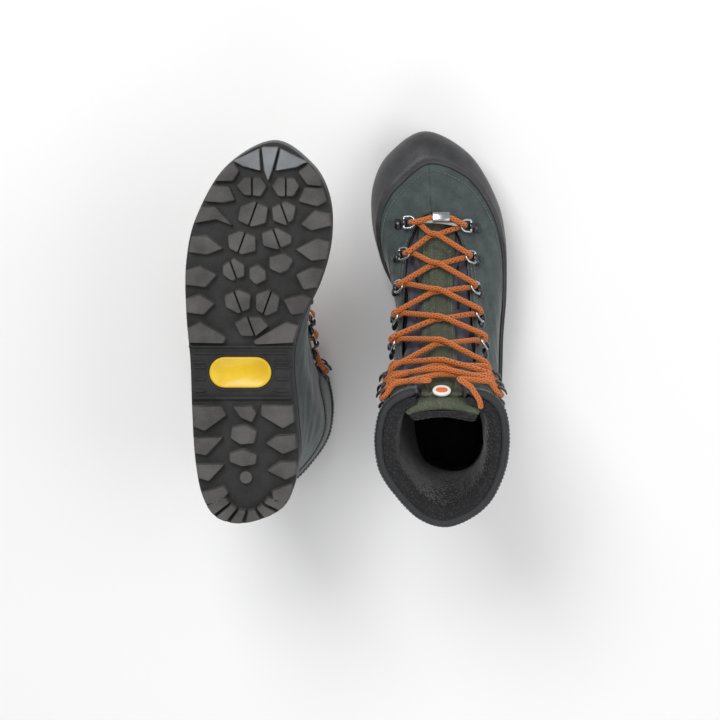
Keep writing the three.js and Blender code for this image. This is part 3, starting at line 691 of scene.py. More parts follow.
FELT = Finish("felted footbed", "felt", "#34343a", "#232327", Pattern.NAP, 0.95, 0.9, 0.3, sheen=0.3)
BADGE = Finish("yellow inlay plastic", "badge", "#e3bd0e", "#d2a80a", Pattern.PLAIN, 0.4, 0.8, 0.03,
               coat=0.3)
BOARD = Finish("pressed board", "board", "#8b8378", "#746c61", Pattern.PLAIN, 0.85, 1.0, 0.1)
STIFFENER = Finish("stiffener sheet", "stiffener", "#9a917f", "#857c6b", Pattern.PLAIN, 0.8, 1.0, 0.1)
CORD = Finish("orange braided lace", "lace", "#ff9a30", "#4a1d0e", Pattern.BRAID, 0.78, 0.95, 0.25,
              mottle=3.2, sheen=0.25)
# Plated steel: bright with faint tumbling marks.
STEEL = Finish("bright plated steel", "ring_steel", "#c6c9cb", "#a9acaf", Pattern.METAL, 0.24, 0.6,
               0.02, metallic=1.0)
GUNMETAL = Finish("black nickel plate", "gunmetal", "#54565b", "#3c3e42", Pattern.METAL, 0.28, 0.6,
                  0.02, metallic=1.0)
PLAQUE = Finish("white moulded plaque", "badge", "#e8e8e4", "#dadad5", Pattern.PLAIN, 0.4, 0.8, 0.02)
PLAQUE_CENTRE = Finish("orange moulded centre", "badge", "#e2692a", "#d35f22", Pattern.PLAIN, 0.5,
                       0.8, 0.02)
THREAD = Finish("grey sewing thread", "nubuck", "#6d7674", "#565e5d", Pattern.PLAIN, 0.7, 0.4, 0.05)
STRIPE = Finish("light lacing strip", "ring_steel", "#b9bbba", "#a2a4a4", Pattern.PLAIN, 0.45, 0.6, 0.02)


# ---------------------------------------------------------------------------------------------
# the lacing's rows, shared by the throat, the hardware and the lace
# ---------------------------------------------------------------------------------------------
ROWS = ((0.385, 0.41, 26.5), (0.465, 0.49, 28.5), (0.54, 0.56, 30.5), (0.615, 0.635, 32.0),
        (0.7, 0.71, 34.5), (0.82, 0.82, 39.0), (0.885, 0.885, 41.0), (0.95, 0.95, 42.0))
RING_ROWS = 5
SIDES = {"outer": 1.0, "inner": -1.0}
THROAT_START = 0.427
THROAT_UPS = (0.427, 0.431, 0.438, 0.45, 0.465, 0.48, 0.5, 0.54, 0.57, 0.6, 0.64, 0.675, 0.71, 0.74,
              0.77, 0.8, 0.84, 0.87, 0.9, 0.93, 0.97, 1.0)
THROAT_HALVES = (0.0, 10.0, 16.0, 21.0, 24.5, 26.5, 27.6, 28.8, 29.6, 30.4, 31.5, 32.3, 32.8, 32.6,
                 31.6, 29.8, 27.0, 25.0, 23.4, 22.0, 20.5, 20.0)


def throat_edge(up: Array, side: float, grow: float = 0.0) -> Array:
    """The share around of the throat's edge on a side, 0.5 below where the throat starts."""
    half = np.interp(up, THROAT_UPS, THROAT_HALVES)
    found = LAST.around_at(up, side, half + np.where(half > 0, grow, 0.0))
    return np.where(half > 0.5, found, 0.5)


def stitch_row(solid: Solid, up: Array, around: Array, out: float, pitch: float = 3.2,
               length: float = 2.3, thick: float = 0.45) -> None:
    """Adds a row of stitches, each a short bead sunk at both ends, along a line on the skin.

    Args:
        solid: Where to add them.
        up: The line's height shares.
        around: The line's shares around.
        out: How far off the skin the line is.
        pitch: The length from one stitch to the next.
        length: A stitch's own length.
        thick: The thread's radius.
    """
    run = run_along(LAST.off(up, around, out))
    count = int(run[-1] / pitch)
    if count < 1:
        return
    share = np.array([-0.5, -0.3, 0.0, 0.3, 0.5])
    for k in range(count):
        at = pitch * (k + 0.5) + share * length
        ups = np.interp(at, run, up)
        arounds = np.interp(at, run, around)
        lift = out + thick * (0.55 - 3.0 * share**2)
        solid.tube(tube_rings(LAST.off(ups, arounds, lift), thick, 5))


# ---------------------------------------------------------------------------------------------
# the sole unit
# ---------------------------------------------------------------------------------------------
LUGS: dict[str, list[tuple[float, float]]] = {
    "toe_outer": [(19, 293), (-1, 301), (-2, 284), (13, 288)],
    "toe_inner": [(-18, 301), (-38, 291), (-31, 287), (-14, 284)],
    "toe_wedge": [(-3, 302), (-16, 302), (-11, 284), (-8, 276), (-5, 284)],
    "toe_side_outer": [(34, 276), (28, 284), (19, 290), (15, 284), (20, 276)],
    "toe_side_inner": [(-50, 272), (-49, 280), (-40, 289), (-32, 283), (-39, 273)],
    "hexagon_outer": [(17, 272), (11, 279), (-2, 279), (-7, 272), (-2, 264), (11, 265)],
    "hexagon_inner": [(-11, 272), (-16, 279), (-29, 278), (-33, 272), (-28, 264), (-16, 264)],
    "outer_1": [(37, 272), (23, 272), (18, 261), (28, 259), (42, 260)],
    "outer_2": [(45, 255), (34, 256), (20, 241), (33, 246), (50, 243)],
    "outer_3": [(52, 232), (41, 233), (28, 223), (41, 218), (55, 220)],
    "outer_4": [(57, 205), (46, 209), (33, 202), (42, 192), (58, 194)],
    "outer_5": [(58, 182), (47, 186), (35, 179), (44, 170), (58, 172)],
    "outer_6": [(57, 158), (46, 164), (26, 152), (28, 147), (57, 147)],
    "inner_1": [(-32, 260), (-37, 271), (-51, 270), (-54, 260), (-47, 256)],
    "inner_2": [(-34, 242), (-45, 253), (-57, 250), (-58, 241), (-42, 237)],
    "inner_3": [(-30, 222), (-47, 231), (-58, 228), (-56, 215), (-42, 213)],
    "inner_4": [(-30, 202), (-43, 208), (-54, 205), (-50, 192), (-36, 190)],
    "inner_5": [(-20, 182), (-35, 186), (-45, 182), (-39, 171), (-26, 170)],
    "inner_6": [(4, 149), (-22, 164), (-34, 160), (-29, 147), (3, 146)],
    "middle_1": [(14, 256), (3, 260), (-8, 255), (-6, 243), (5, 240), (16, 245)],
    "middle_2": [(-11, 255), (-22, 260), (-30, 256), (-28, 246), (-22, 241), (-12, 245)],
    "middle_3": [(24, 233), (14, 237), (2, 232), (2, 221), (13, 218), (23, 223)],
    "middle_4": [(-3, 235), (-15, 239), (-27, 233), (-26, 227), (-15, 222), (-4, 225)],
    "middle_5": [(-9, 216), (-21, 219), (-28, 214), (-24, 206), (-17, 203), (-9, 207)],
    "middle_6": [(28, 209), (19, 215), (11, 210), (11, 201), (21, 197), (28, 202)],
    "middle_7": [(7, 207), (0, 210), (-6, 205), (-6, 198), (2, 194), (7, 199)],
    "middle_8": [(27, 185), (16, 190), (6, 186), (7, 175), (16, 171), (26, 176)],
    "middle_9": [(2, 186), (-8, 190), (-17, 184), (-15, 173), (-6, 169), (2, 174)],
    "middle_10": [(19, 163), (11, 168), (-2, 168), (-8, 161), (2, 153), (14, 153)],
    "heel_1_outer": [(54, 96), (30, 96), (26, 89), (44, 76), (54, 80)],
    "heel_1_middle": [(21, 96), (6, 96), (2, 91), (6, 83), (15, 87)],
    "heel_1_inner": [(-2, 97), (-29, 97), (-29, 84), (-19, 78), (-1, 89)],
    "heel_2_outer": [(53, 70), (29, 71), (43, 56), (52, 58)],
    "heel_2_inner": [(-14, 72), (-30, 73), (-30, 62), (-19, 57), (-5, 66)],
    "heel_2_middle": [(22, 79), (11, 81), (2, 76), (4, 66), (15, 65), (23, 70)],
    "heel_3_middle": [(24, 58), (13, 61), (2, 57), (3, 49), (14, 47), (24, 51)],
    "heel_3_outer": [(52, 49), (28, 49), (41, 35), (50, 38)],
    "heel_3_inner": [(-17, 51), (-30, 51), (-30, 41), (-21, 36), (-6, 44)],
    "heel_4_outer": [(48, 25), (29, 31), (25, 26), (31, 18), (43, 16)],
    "heel_4_inner": [(-10, 27), (-26, 33), (-28, 25), (-23, 18), (-11, 18)],
}


def counter_clockwise(outline: Array) -> Array:
    """The outline wound counter-clockwise from above."""
    x, y = outline[:, 0], outline[:, 1]
    area = np.sum(x * np.roll(y, -1) - np.roll(x, -1) * y)
    return outline if area > 0 else outline[::-1]


def clip_half(outline: Array, point: Array, way: Array) -> Array:
    """The part of a convex outline on the side of a line that the way points to."""
    side = (outline - point) @ way
    kept: list[Array] = []
    for k in range(len(outline)):
        n = (k + 1) % len(outline)
        if side[k] >= 0:
            kept.append(outline[k])
        if side[k] * side[n] < 0:
            share = side[k] / (side[k] - side[n])
            kept.append(outline[k] + (outline[n] - outline[k]) * share)
    return np.array(kept)


@dataclass
class SoleUnit:
    """Outsole, its lugs and inlay, and the midsole, with sizes in mm."""

    place: Placement
    smooth_steps: int = 180
    lug_rim: float = 0.9
    sipe: float = 1.1
    heel_centre: tuple[float, float] = (10.5, 30.0)
    wedges: int = 6
    badge_place: tuple[float, float] = (15.0, 123.0)
    badge_length: float = 50.0
    badge_width: float = 25.0
    plug_place: tuple[float, float] = (11.0, 38.0)
    plug_radius: float = 5.0
    wedge_start: float = 19.0
    wedge_end: float = 60.0
    plate_lugs: tuple[str, ...] = ("toe_outer", "toe_inner", "toe_wedge")
    whole_lugs: tuple[str, ...] = ("middle_5", "middle_7")
    rib_places: tuple[float, ...] = (138.5, 131.0, 127.0, 117.5, 108.0)

    def build(self) -> None:
        """Makes every piece of the unit."""
        self.base()
        self.tread()
        self.toe_plate()
        self.badge()
        self.midsole()

    def slab(self, solid: Solid, steps: Sequence[tuple[float, Callable[[Array], Array]]]) -> None:
        """Adds rings of the sole's outline from low to high, capped by strips across it.

        Args:
            solid: Where to add them.
            steps: For each ring, its inset and its height as a function of y.
        """
        around = np.arange(self.smooth_steps) / self.smooth_steps
        rings = []
        for inset, height in steps:
            edge = LAST.sole_edge(around, inset)
            y = edge[:, 1]
            rings.append(np.column_stack([edge, height(y) + LAST.spring(y)]))
        n = self.smooth_steps
        faces = grid_quads(len(rings), n, False, True).tolist()
        top = (len(rings) - 1) * n
        for j in range(n // 2):
            quad = [j, j + 1, n - j - 1, (n - j) % n]
            quad = list(dict.fromkeys(quad))
            if len(quad) > 2:
                faces.append(quad[::-1])
                faces.append([k + top for k in quad])
        solid.add(np.array(rings), faces)

    def base(self) -> None:
        """The rubber sheet between the lugs, with a rounded edge and the shank's cross ribs."""
        solid = Solid()
        level = LAST.lug_depth
        self.slab(solid, [
            (1.0, lambda y: y * 0 + level),
            (0.0, lambda y: y * 0 + level + 1.0),
            (0.0, lambda y: y * 0 + LAST.tread_top - 0.5),
            (0.5, lambda y: y * 0 + LAST.tread_top),
        ])
        reach = self.badge_width / 2 + 3
        for rib in self.rib_places:
            spans = [(-24.0, 52.0)]
            if abs(rib - self.badge_place[1]) < reach:
                half = self.badge_length / 2 + 3
                spans = [(-24.0, self.badge_place[0] - half), (self.badge_place[0] + half, 52.0)]
            for low, high in spans:
                self.bar(solid, low, high, rib, 1.6, 1.2)
        self.bar(solid, -26.0, 54.0, 102.5, 2.2, 2.6)
        self.bar(solid, -30.0, 56.0, 144.0, 1.8, 1.8)
        # The sheet is dressed in tread rubber darkened as painted shade in the grooves between the lugs.
        solid.piece(self.place, "outsole_base", SHADED_TREAD, replaces=["outsole"])

    def bar(self, solid: Solid, low: float, high: float, y: float, width: float, depth: float) -> None:
        """Adds a low moulded rib across the sole, tapered towards its tip."""
        outline = np.array([(low, y - width / 2), (high, y - width / 2),
                            (high, y + width / 2), (low, y + width / 2)])
        level = LAST.lug_depth
        solid.loft_up(outline, [(0.5, level - depth), (0.0, level - depth * 0.6), (0.0, level + 0.5)])

    def inside(self, outline: Array) -> Array:
        """An outline with its points moved inside the sole's edge, less the lugs' rim."""
        around = np.arange(400) / 400
        edge = LAST.sole_edge(around, 0.0)
        inner = LAST.sole_edge(around, self.lug_rim)
        nearest = np.argmin(np.linalg.norm(outline[:, None] - edge[None], axis=2), axis=1)
        way = unit(inner[nearest] - edge[nearest])
        depth = np.sum((outline - edge[nearest]) * way, axis=1)
        return np.where((depth < self.lug_rim)[:, None], inner[nearest], outline)

    def lug(self, solid: Solid, outline: Array) -> None:
        """Adds a lug: a prism whose walls lean out towards the base and whose tip is rounded."""
        plan = counter_clockwise(self.inside(self.rounded(outline)))
        middle = plan.mean(axis=0)
        out = plan - middle
        reach = np.linalg.norm(out, axis=1, keepdims=True)
        steps = [(1.1, 0.0), (0.55, 0.12), (0.25, 0.5), (0.0, 1.2), (-0.9, LAST.lug_depth + 0.4)]
        rings = []
        for shrink, height in steps:
            ring = middle + out * (1 - shrink / np.maximum(reach, 3.0))
            rings.append(np.column_stack([ring, height + LAST.spring(ring[:, 1])]))
        solid.tube(np.array(rings))

    def rounded(self, outline: Array, radius: float = 1.3, steps: int = 3) -> Array:
        """An outline with each corner cut to a short curve."""
        points: list[Array] = []
        for k in range(len(outline)):
            before, here, after = outline[k - 1], outline[k], outline[(k + 1) % len(outline)]
            back = unit(before - here) * min(radius, np.linalg.norm(before - here) * 0.4)
            on = unit(after - here) * min(radius, np.linalg.norm(after - here) * 0.4)
            for t in np.linspace(0, 1, steps):
                points.append(here + back * (1 - t) ** 2 + on * t**2)
        return np.array(points)

    def tread(self) -> None:
        """All the lugs but the toe's smooth ones, some of them split by a sipe."""
        solid = Solid()
        for name, corners in LUGS.items():
            if name in self.plate_lugs:
                continue
            outline = np.array(corners, dtype=float)
            split = name.startswith(("hexagon", "middle")) and name not in self.whole_lugs
            if not split:
                self.lug(solid, outline)
                continue
            turn = 0.0 if name.startswith("hexagon") else (0.35 if int(name[-1]) % 2 else -0.35)
            way = np.array([math.cos(turn), math.sin(turn)])
            middle = outline.mean(axis=0)
            for sign in (1, -1):
                self.lug(solid, clip_half(outline, middle + way * sign * self.sipe / 2, way * sign))
        centre = np.array(self.heel_centre)
        step = math.pi / (self.wedges + 2)
        for i in range(self.wedges):
            start = -math.pi + step * (i + 1) + 0.05
            angles = np.linspace(start, start + step - 0.1, 4)
            rays = np.column_stack([np.cos(angles), np.sin(angles)])
            outline = [centre + rays * self.wedge_start, centre + rays[::-1] * self.wedge_end]
            self.lug(solid, np.concatenate(outline))
        disc = np.column_stack([np.cos(circle(24)), np.sin(circle(24))]) * self.plug_radius
        solid.loft_up(np.array(self.plug_place) + disc, [(0.5, 1.2), (0, 1.6), (0, 6.5)])
        solid.piece(self.place, "tread_lugs", TREAD, smooth=False)

    def toe_plate(self) -> None:
        """The smooth climbing edge under the toe, in three plates with narrow gaps."""
        solid = Solid()
        for name in self.plate_lugs:
            self.lug(solid, np.array(LUGS[name], dtype=float))
        solid.piece(self.place, "toe_plates", TOE_PLATE, smooth=False)

    def stadium(self, length: float, width: float, steps: int = 14) -> Array:
        """A bar with round ends about the badge's place."""
        angle = np.linspace(-np.pi / 2, np.pi / 2, steps)
        arc = np.column_stack([np.cos(angle), np.sin(angle)]) * width / 2
        shift = np.array([(length - width) / 2, 0.0])
        return np.array(self.badge_place) + np.concatenate([arc + shift, -arc - shift])

    def badge(self) -> None:
        """The yellow inlay: a plain plate with a raised rim, in a frame of tread rubber darkened as
        painted shade.
        """
        level = LAST.lug_depth
        plate = Solid()
        plate.loft_up(self.stadium(self.badge_length, self.badge_width), [
            (3.2, level - 0.55), (2.6, level - 1.0), (0.9, level - 1.0), (0.2, level - 0.6),
            (0.0, level + 1.0),
        ])
        plate.piece(self.place, "sole_badge", BADGE, replaces=["sole_badge"])
        bead = self.stadium(self.badge_length + 3.2, self.badge_width + 3.2)
        path = np.column_stack([bead, np.full(len(bead), level)])
        Solid().ring_grid(tube_rings(path, 1.0, 8, closed=True)).piece(
            self.place, "badge_frame", SHADED_TREAD)

    def midsole(self) -> None:
        """The midsole: rounded, waisted, with a fine groove near its top."""
        low = LAST.tread_top + LAST.clear

        def level(share: float) -> Callable[[Array], Array]:
            """A height at a share of the midsole's thickness."""
            return lambda y: low + (LAST.feather(y) - LAST.clear - low) * share

        solid = Solid()
        self.slab(solid, [
            (1.2, level(0.0)), (0.4, level(0.06)), (0.5, level(0.3)), (0.9, level(0.6)),
            (1.0, level(0.7)), (1.7, level(0.74)), (1.0, level(0.78)), (0.8, level(0.94)),
            (1.6, level(1.0)),
        ])
        solid.piece(self.place, "midsole", MIDSOLE, replaces=["midsole"])


# ---------------------------------------------------------------------------------------------
# the upper
# ---------------------------------------------------------------------------------------------
def from_toe(around: Array) -> Array:
    """How far a share around is from the toe."""
    return np.abs(around - np.floor(around) - 0.5)


def from_heel(around: Array) -> Array:
    """How far a share around is from the heel."""
    wrapped = around - np.floor(around)
    return np.minimum(wrapped, 1 - wrapped)


@dataclass
class Upper:
    """The leather shell, the rand and what is sewn to them, with sizes in mm."""

    place: Placement
    wall: float = 2.2
    columns: int = 240
    facing_share: float = 0.034
    facing_rise: float = 1.1
    rand_rise: float = 2.7
    cuff_low: float = 0.80
    cuff_wall: float = 1.2
    stiffener_depth: float = 3.0
    stiffener_wall: float = 1.0

    def build(self) -> None:
        """Makes every piece of the upper."""
        self.shell()
        self.rand()
        self.facings()
        self.cuff_panel()
        self.seams()
        self.heel_strip()
        self.stiffeners()

    def wrinkle(self, up: Array, around: Array) -> Array:
        """Height of the leather's soft creases over the flex line and round the ankle."""
        wave = np.sin(up * 61 + 2.2 * np.sin(around * 31)) * np.sin(around * 47 + up * 13)
        flex = np.exp(-(((up - 0.36) / 0.07) ** 2)) * np.exp(-((from_toe(around) / 0.16) ** 2))
        ankle = np.exp(-(((up - 0.66) / 0.12) ** 2)) * smoothstep(from_heel(around), 0.06, 0.2)
        return wave * (0.3 + 0.7 * flex + 0.5 * ankle)

    def facing_width(self, ups: Array) -> Array:
        """The facings' width as a share round the boot, narrower at their toe end."""
        return self.facing_share * (0.75 + 0.25 * smoothstep(ups, 0.46, 0.62))

    def shell(self) -> None:
        """The vamp and quarters in one leather sheet, open along the throat."""
        ups = np.concatenate([
            np.linspace(0.0, THROAT_START, 44, endpoint=False),
            THROAT_START + (0.5 - THROAT_START) * np.linspace(0, 1, 26, endpoint=False) ** 2,
            np.linspace(0.5, 1.0, 60),
        ])
        outer, inner = throat_edge(ups, 1.0), throat_edge(ups, -1.0)
        share = np.linspace(0, 1, self.columns)
        around = (inner - 1)[:, None] + (outer - inner + 1)[:, None] * share
        up = np.broadcast_to(ups[:, None], around.shape)
        points = LAST.off(up, around, self.wrinkle(up, around) * 0.5)
        solid = Solid().add(points, grid_quads(len(ups), self.columns, False, False))
        piece = solid.piece(self.place, "upper", NUBUCK, replaces=["upper"])
        thicken(piece, self.wall)

    def rand_top(self, around: Array) -> Array:
        """The rand's top edge: high over the toe and round the heel, low along the sides."""
        toe = np.exp(-(((around - 0.54) / 0.14) ** 2))
        heel = np.exp(-((from_heel(around) / 0.1) ** 2))
        return 0.16 + 0.115 * toe + 0.1 * heel

    def rand(self) -> None:
        """The rubber rand, a band with a raised lip along its top edge."""
        around = np.arange(self.columns) / self.columns
        top = self.rand_top(around)
        rise = self.rand_rise
        profile = (
            (0.0, 0.35), (0.0, rise), (0.1, rise + 0.3), (0.25, rise + 0.1), (0.45, rise), (0.62, rise),
            (0.78, rise - 0.1), (0.84, rise - 0.1), (0.87, rise + 0.5), (0.92, rise + 0.75),
            (0.955, rise + 0.35), (0.965, rise - 0.7), (0.985, rise - 0.6), (1.0, rise - 1.1),
            (1.01, 0.9), (1.0, 0.35), (0.66, 0.35), (0.33, 0.35),
        )
        rings = np.stack([LAST.off(top * share, around, np.full(around.shape, out))
                          for share, out in profile])
        Solid().ring_grid(rings).piece(self.place, "rand", RAND_FACE, replaces=["rand"])

    def facings(self) -> None:
        """The doubled leather along both edges of the throat, joined round its toe end."""
        ups = np.concatenate([np.linspace(0.99, 0.5, 60), np.linspace(0.495, THROAT_START + 0.004, 26)])
        solid = Solid()
        rise = self.facing_rise
        for side in SIDES.values():
            edge = throat_edge(ups, side)
            width = self.facing_width(ups)
            loop = ((-0.02, -1.6), (-0.045, 0.0), (-0.03, rise), (0.12, rise + 0.25), (0.5, rise),
                    (0.9, rise), (1.0, rise * 0.7), (1.01, -0.3), (0.5, -0.5))
            crease = self.wrinkle(ups, edge) * 0.4
            rings = np.stack([
                LAST.off(ups, edge - side * width * a, np.full(ups.shape, out) + crease)
                for a, out in loop
            ], axis=1)
            solid.tube(rings if side > 0 else rings[:, ::-1])
        solid.piece(self.place, "facings", NUBUCK)

    def cuff_panel(self) -> None:
        """The smooth grey-green panel round the top of the ankle, under the collar's binding."""
        ups = np.linspace(self.cuff_low, 0.985, 20)
        low, high = 0.055, 0.40
        solid = Solid()
        for side in SIDES.values():
            around = np.linspace(low, high - 0.01, 60)
            if side < 0:
                around = 1 - around[::-1]
            grid_up, grid_around = np.meshgrid(ups, around, indexing="ij")
            dip = 0.05 * smoothstep(np.minimum(from_heel(grid_around), 0.4), 0.3, 0.4)
            grid_up = grid_up + dip * (1 - (grid_up - self.cuff_low) / 0.185)
            points = LAST.off(grid_up, grid_around, 0.75 + 0.3 * self.wrinkle(grid_up, grid_around))
            solid.add(points, grid_quads(len(ups), 60, False, False))
        piece = solid.piece(self.place, "cuff_panels", NUBUCK)
        thicken(piece, self.cuff_wall)

    def seams(self) -> None:
        """Stitching along the facings, the rand, the cuff panels and the heel strip."""
        solid = Solid()
        ups = np.linspace(0.985, THROAT_START + 0.03, 90)
        for side in SIDES.values():
            edge = throat_edge(ups, side)
            width = self.facing_width(ups)
            stitch_row(solid, ups, edge - side * width * 0.86, self.facing_rise + 0.1)
            stitch_row(solid, ups, edge - side * width * 0.14, self.facing_rise + 0.2)
        span = np.linspace(0.06, 0.39, 80)
        for side in SIDES.values():
            around = span if side > 0 else 1 - span
            stitch_row(solid, np.full(span.shape, 0.962), around, 0.9)
            lower = np.full(span.shape, 0.815) + 0.045 * smoothstep(span, 0.3, 0.4)
            stitch_row(solid, lower, around, 0.9)
        around = np.linspace(0.30, 0.70, 160)
        stitch_row(solid, self.rand_top(around) + 0.028, around, 0.25)
        heel_up = np.linspace(0.3, 0.8, 60)
        for shift in (0.028, 0.972):
            stitch_row(solid, heel_up, np.full(heel_up.shape, shift), 1.0)
        solid.piece(self.place, "stitching", THREAD)

    def heel_strip(self) -> None:
        """The leather strip up the back of the heel."""
        ups = np.linspace(0.22, 0.97, 70)
        loop = ((-1.0, -0.3), (-0.97, 0.8), (-0.5, 1.0), (0.0, 1.0), (0.5, 1.0), (0.97, 0.8), (1.0, -0.3))
        rings = np.stack([
            LAST.off(ups, np.full(ups.shape, 0.034 * a), np.full(ups.shape, out)) for a, out in loop
        ], axis=1)
        Solid().tube(rings).piece(self.place, "heel_strip", NUBUCK)

    def stiffeners(self) -> None:
        """The toe puff and heel counter, thin shells inside the wall."""
        for part, middle, reach, top in (("toe_puff", 0.5, 0.1, 0.2), ("heel_counter", 0.0, 0.11, 0.3)):
            around = middle + np.linspace(-reach, reach, 40)
            ups = np.linspace(0.02, top, 12)
            grid_up, grid_around = np.meshgrid(ups, around, indexing="ij")
            points = LAST.off(grid_up, grid_around, -self.stiffener_depth)
            solid = Solid().add(points, grid_quads(12, 40, False, False))
            piece = solid.piece(self.place, part, STIFFENER, replaces=[part])
            thicken(piece, self.stiffener_wall)


@dataclass
class Comfort:
    """Everything soft inside: lining, collar roll, tongue, gusset and footbed, with sizes in mm."""

    place: Placement
    tongue_half: float = 36.0
    pad_half: float = 14.5
    lining_wall: float = 2.4
    tongue_thick: float = 4.0
    pad_thick: float = 5.0
    gusset_wall: float = 1.0
    floor_inset: float = 13.0

    def build(self) -> None:
        """Makes every soft piece."""
        self.lining()
        self.binding()
        self.tongue()
        self.tongue_roll()
        self.pad()
        self.gusset()
        self.plaque()
        self.floor()

    def puff(self, around: Array) -> Array:
        """Depth of the padding's quilting round the collar."""
        return 0.7 * np.sin(around * 2 * np.pi * 9) + 0.4 * np.sin(around * 2 * np.pi * 23 + 1.3)

    def lining(self) -> None:
        """The knit lining: thin in the foot, padded at the ankle, rolled over the collar's edge."""
        path = ((0.02, -7.0), (0.1, -7.2), (0.2, -7.2), (0.3, -7.2), (0.38, -7.2), (0.45, -7.4),
                (0.55, -7.8), (0.63, -9.0), (0.7, -11.2), (0.76, -13.6), (0.82, -15.4), (0.88, -16.2),
                (0.93, -16.4), (0.97, -15.6), (0.995, -13.6), (1.008, -10.6), (1.01, -7.6), (1.004, -5.0))
        u = np.linspace(0, 1, 96)
        ups = spline([p[0] for p in path], u)
        outs = spline([p[1] for p in path], u)
        outer = throat_edge(np.clip(ups, 0, 1), 1.0, 2.0)
        inner = throat_edge(np.clip(ups, 0, 1), -1.0, 2.0)
        share = np.linspace(0, 1, 200)
        around = (inner - 1)[:, None] + (outer - inner + 1)[:, None] * share
        up = np.broadcast_to(ups[:, None], around.shape)
        soft = smoothstep(ups, 0.66, 0.85)[:, None] * self.puff(around) * (ups[:, None] < 1.0)
        points = LAST.off(up, around, outs[:, None] + soft * 0.6)
        quads = grid_quads(len(ups), 200, False, False)[:, ::-1]
        piece = Solid().add(points, quads).piece(self.place, "lining", KNIT, replaces=["lining"])
        thicken(piece, self.lining_wall)

    def binding(self) -> None:
        """The rolled binding round the collar's rim, from one flap to the other."""
        start = float(throat_edge(np.array([1.0]), -1.0)[0]) - 1
        end = float(throat_edge(np.array([1.0]), 1.0)[0])
        around = np.linspace(start + 0.003, end - 0.003, 240)
        wobble = 0.25 * np.sin(around * 2 * np.pi * 31) + 0.2 * np.sin(around * 2 * np.pi * 13)
        path = LAST.off(np.full(around.shape, 0.992), around, np.full(around.shape, -1.6))
        rings = tube_rings(path, 3.5 + wobble * 0.4, 18)
        taper = np.sqrt(np.clip(np.minimum(np.arange(240), 239 - np.arange(240)) / 6, 0.05, 1))
        rings = path[:, None] + (rings - path[:, None]) * taper[:, None, None]
        Solid().tube(rings).piece(self.place, "collar_binding", BINDING)
        seam = Solid()
        stitch_row(seam, np.full(around.shape, 0.988), around, 2.0, pitch=3.4)
        seam.piece(self.place, "binding_stitches", THREAD)

    def lateral(self, up: Array, reach: Array) -> Array:
        """The share around at a signed distance from the throat's middle line."""
        out = LAST.around_at(up, 1.0, np.abs(reach))
        inn = LAST.around_at(up, -1.0, np.abs(reach))
        return np.where(reach >= 0, out, inn)

    def slab(self, ups: Array, half: Array, top: Callable[[Array, Array], Array], thick: Array,
             columns: int = 41) -> Solid:
        """A closed pad over the throat: an upper and a lower sheet joined all round.

        Args:
            ups: Height shares of its rows.
            half: Its half width at each row.
            top: The upper sheet's distance off the skin, from the rows and the share across.
            thick: Its thickness at each row.
            columns: Points across.

        Returns:
            The solid, with its rows as closed rings.
        """
        across = np.sin(np.linspace(-1, 1, columns) * np.pi / 2)
        up = np.broadcast_to(ups[:, None], (len(ups), columns))
        reach = half[:, None] * across
        around = self.lateral(up, reach)
        upper = LAST.off(up, around, top(up, np.broadcast_to(across, up.shape)))
        edge = np.sqrt(np.clip(1 - across**6, 0, 1))
        inner = across[1:-1][::-1]
        low_around = around[:, 1:-1][:, ::-1]
        low_out = top(up[:, 1:-1], np.broadcast_to(inner, low_around.shape))
        low_out = low_out - thick[:, None] * edge[1:-1][::-1]
        lower = LAST.off(up[:, 1:-1], low_around, low_out)
        rings = np.concatenate([upper, lower], axis=1)
        return Solid().tube(rings[:, ::-1])

    def tongue(self) -> None:
        """The tongue's knit back, which lies under the facings and stands above the collar."""
        ups = np.linspace(0.41, 1.02, 60)
        half = np.interp(ups, (0.4, 0.6, 0.8, 1.02), (24.0, 30.0, 34.0, 33.0))

        def top(up: Array, across: Array) -> Array:
            """The sheet sinks at its edges, under the lining."""
            sunk = 9.0 + 9.5 * smoothstep(up, 0.62, 0.9)
            return -sunk - 1.0 * across**2

        solid = self.slab(ups, half, top, np.full(ups.shape, self.tongue_thick))
        solid.piece(self.place, "tongue", KNIT, replaces=["tongue"])

    def tongue_roll(self) -> None:
        """The leather crescent along the tongue's top, with a knit facing behind it."""
        leather, knit = Solid(), Solid()
        across = np.linspace(-1, 1, 61)
        ends = np.sqrt(np.clip(1 - across**4, 0.02, 1))
        reach = across * (self.tongue_half + 1.5)
        around = self.lateral(np.full(across.shape, 0.96), reach)
        front = -6.5 - 7.5 * across**2
        depth = 13.0 * ends
        top = 1.022 - 0.012 * across**2
        loop = np.array([(0.0, 0.0), (0.28, 0.03), (0.7, 0.12), (0.93, 0.25), (1.0, 0.48), (0.95, 0.75),
                         (0.8, 0.93), (0.5, 1.0), (0.2, 0.98), (0.0, 0.9)])
        low = 0.9
        rings = np.stack([
            LAST.off(low + (top - low) * h, around, front - depth * d) for h, d in loop
        ], axis=1)
        leather.tube(rings)
        leather.piece(self.place, "tongue_roll", TONGUE_LEATHER)
        back = front - depth
        loop = np.array([(0.0, -0.3), (0.5, -0.3), (0.9, -0.2), (1.0, 0.4), (0.92, 0.9), (0.5, 1.0),
                         (0.0, 1.0)])
        rings = np.stack([
            LAST.off(low + (top - 0.006 - low) * h, around, back - 4.6 * ends * d) for h, d in loop
        ], axis=1)
        knit.tube(rings)
        knit.piece(self.place, "tongue_facing", KNIT)

    def pad(self) -> None:
        """The leather column up the tongue's middle, quilted by seams across and along it."""
        ups = np.linspace(0.412, 0.97, 150)
        half = np.interp(ups, (0.41, 0.5, 0.6, 0.8, 0.97), (16.5, 17.0, self.pad_half, 15.5, 17.0))

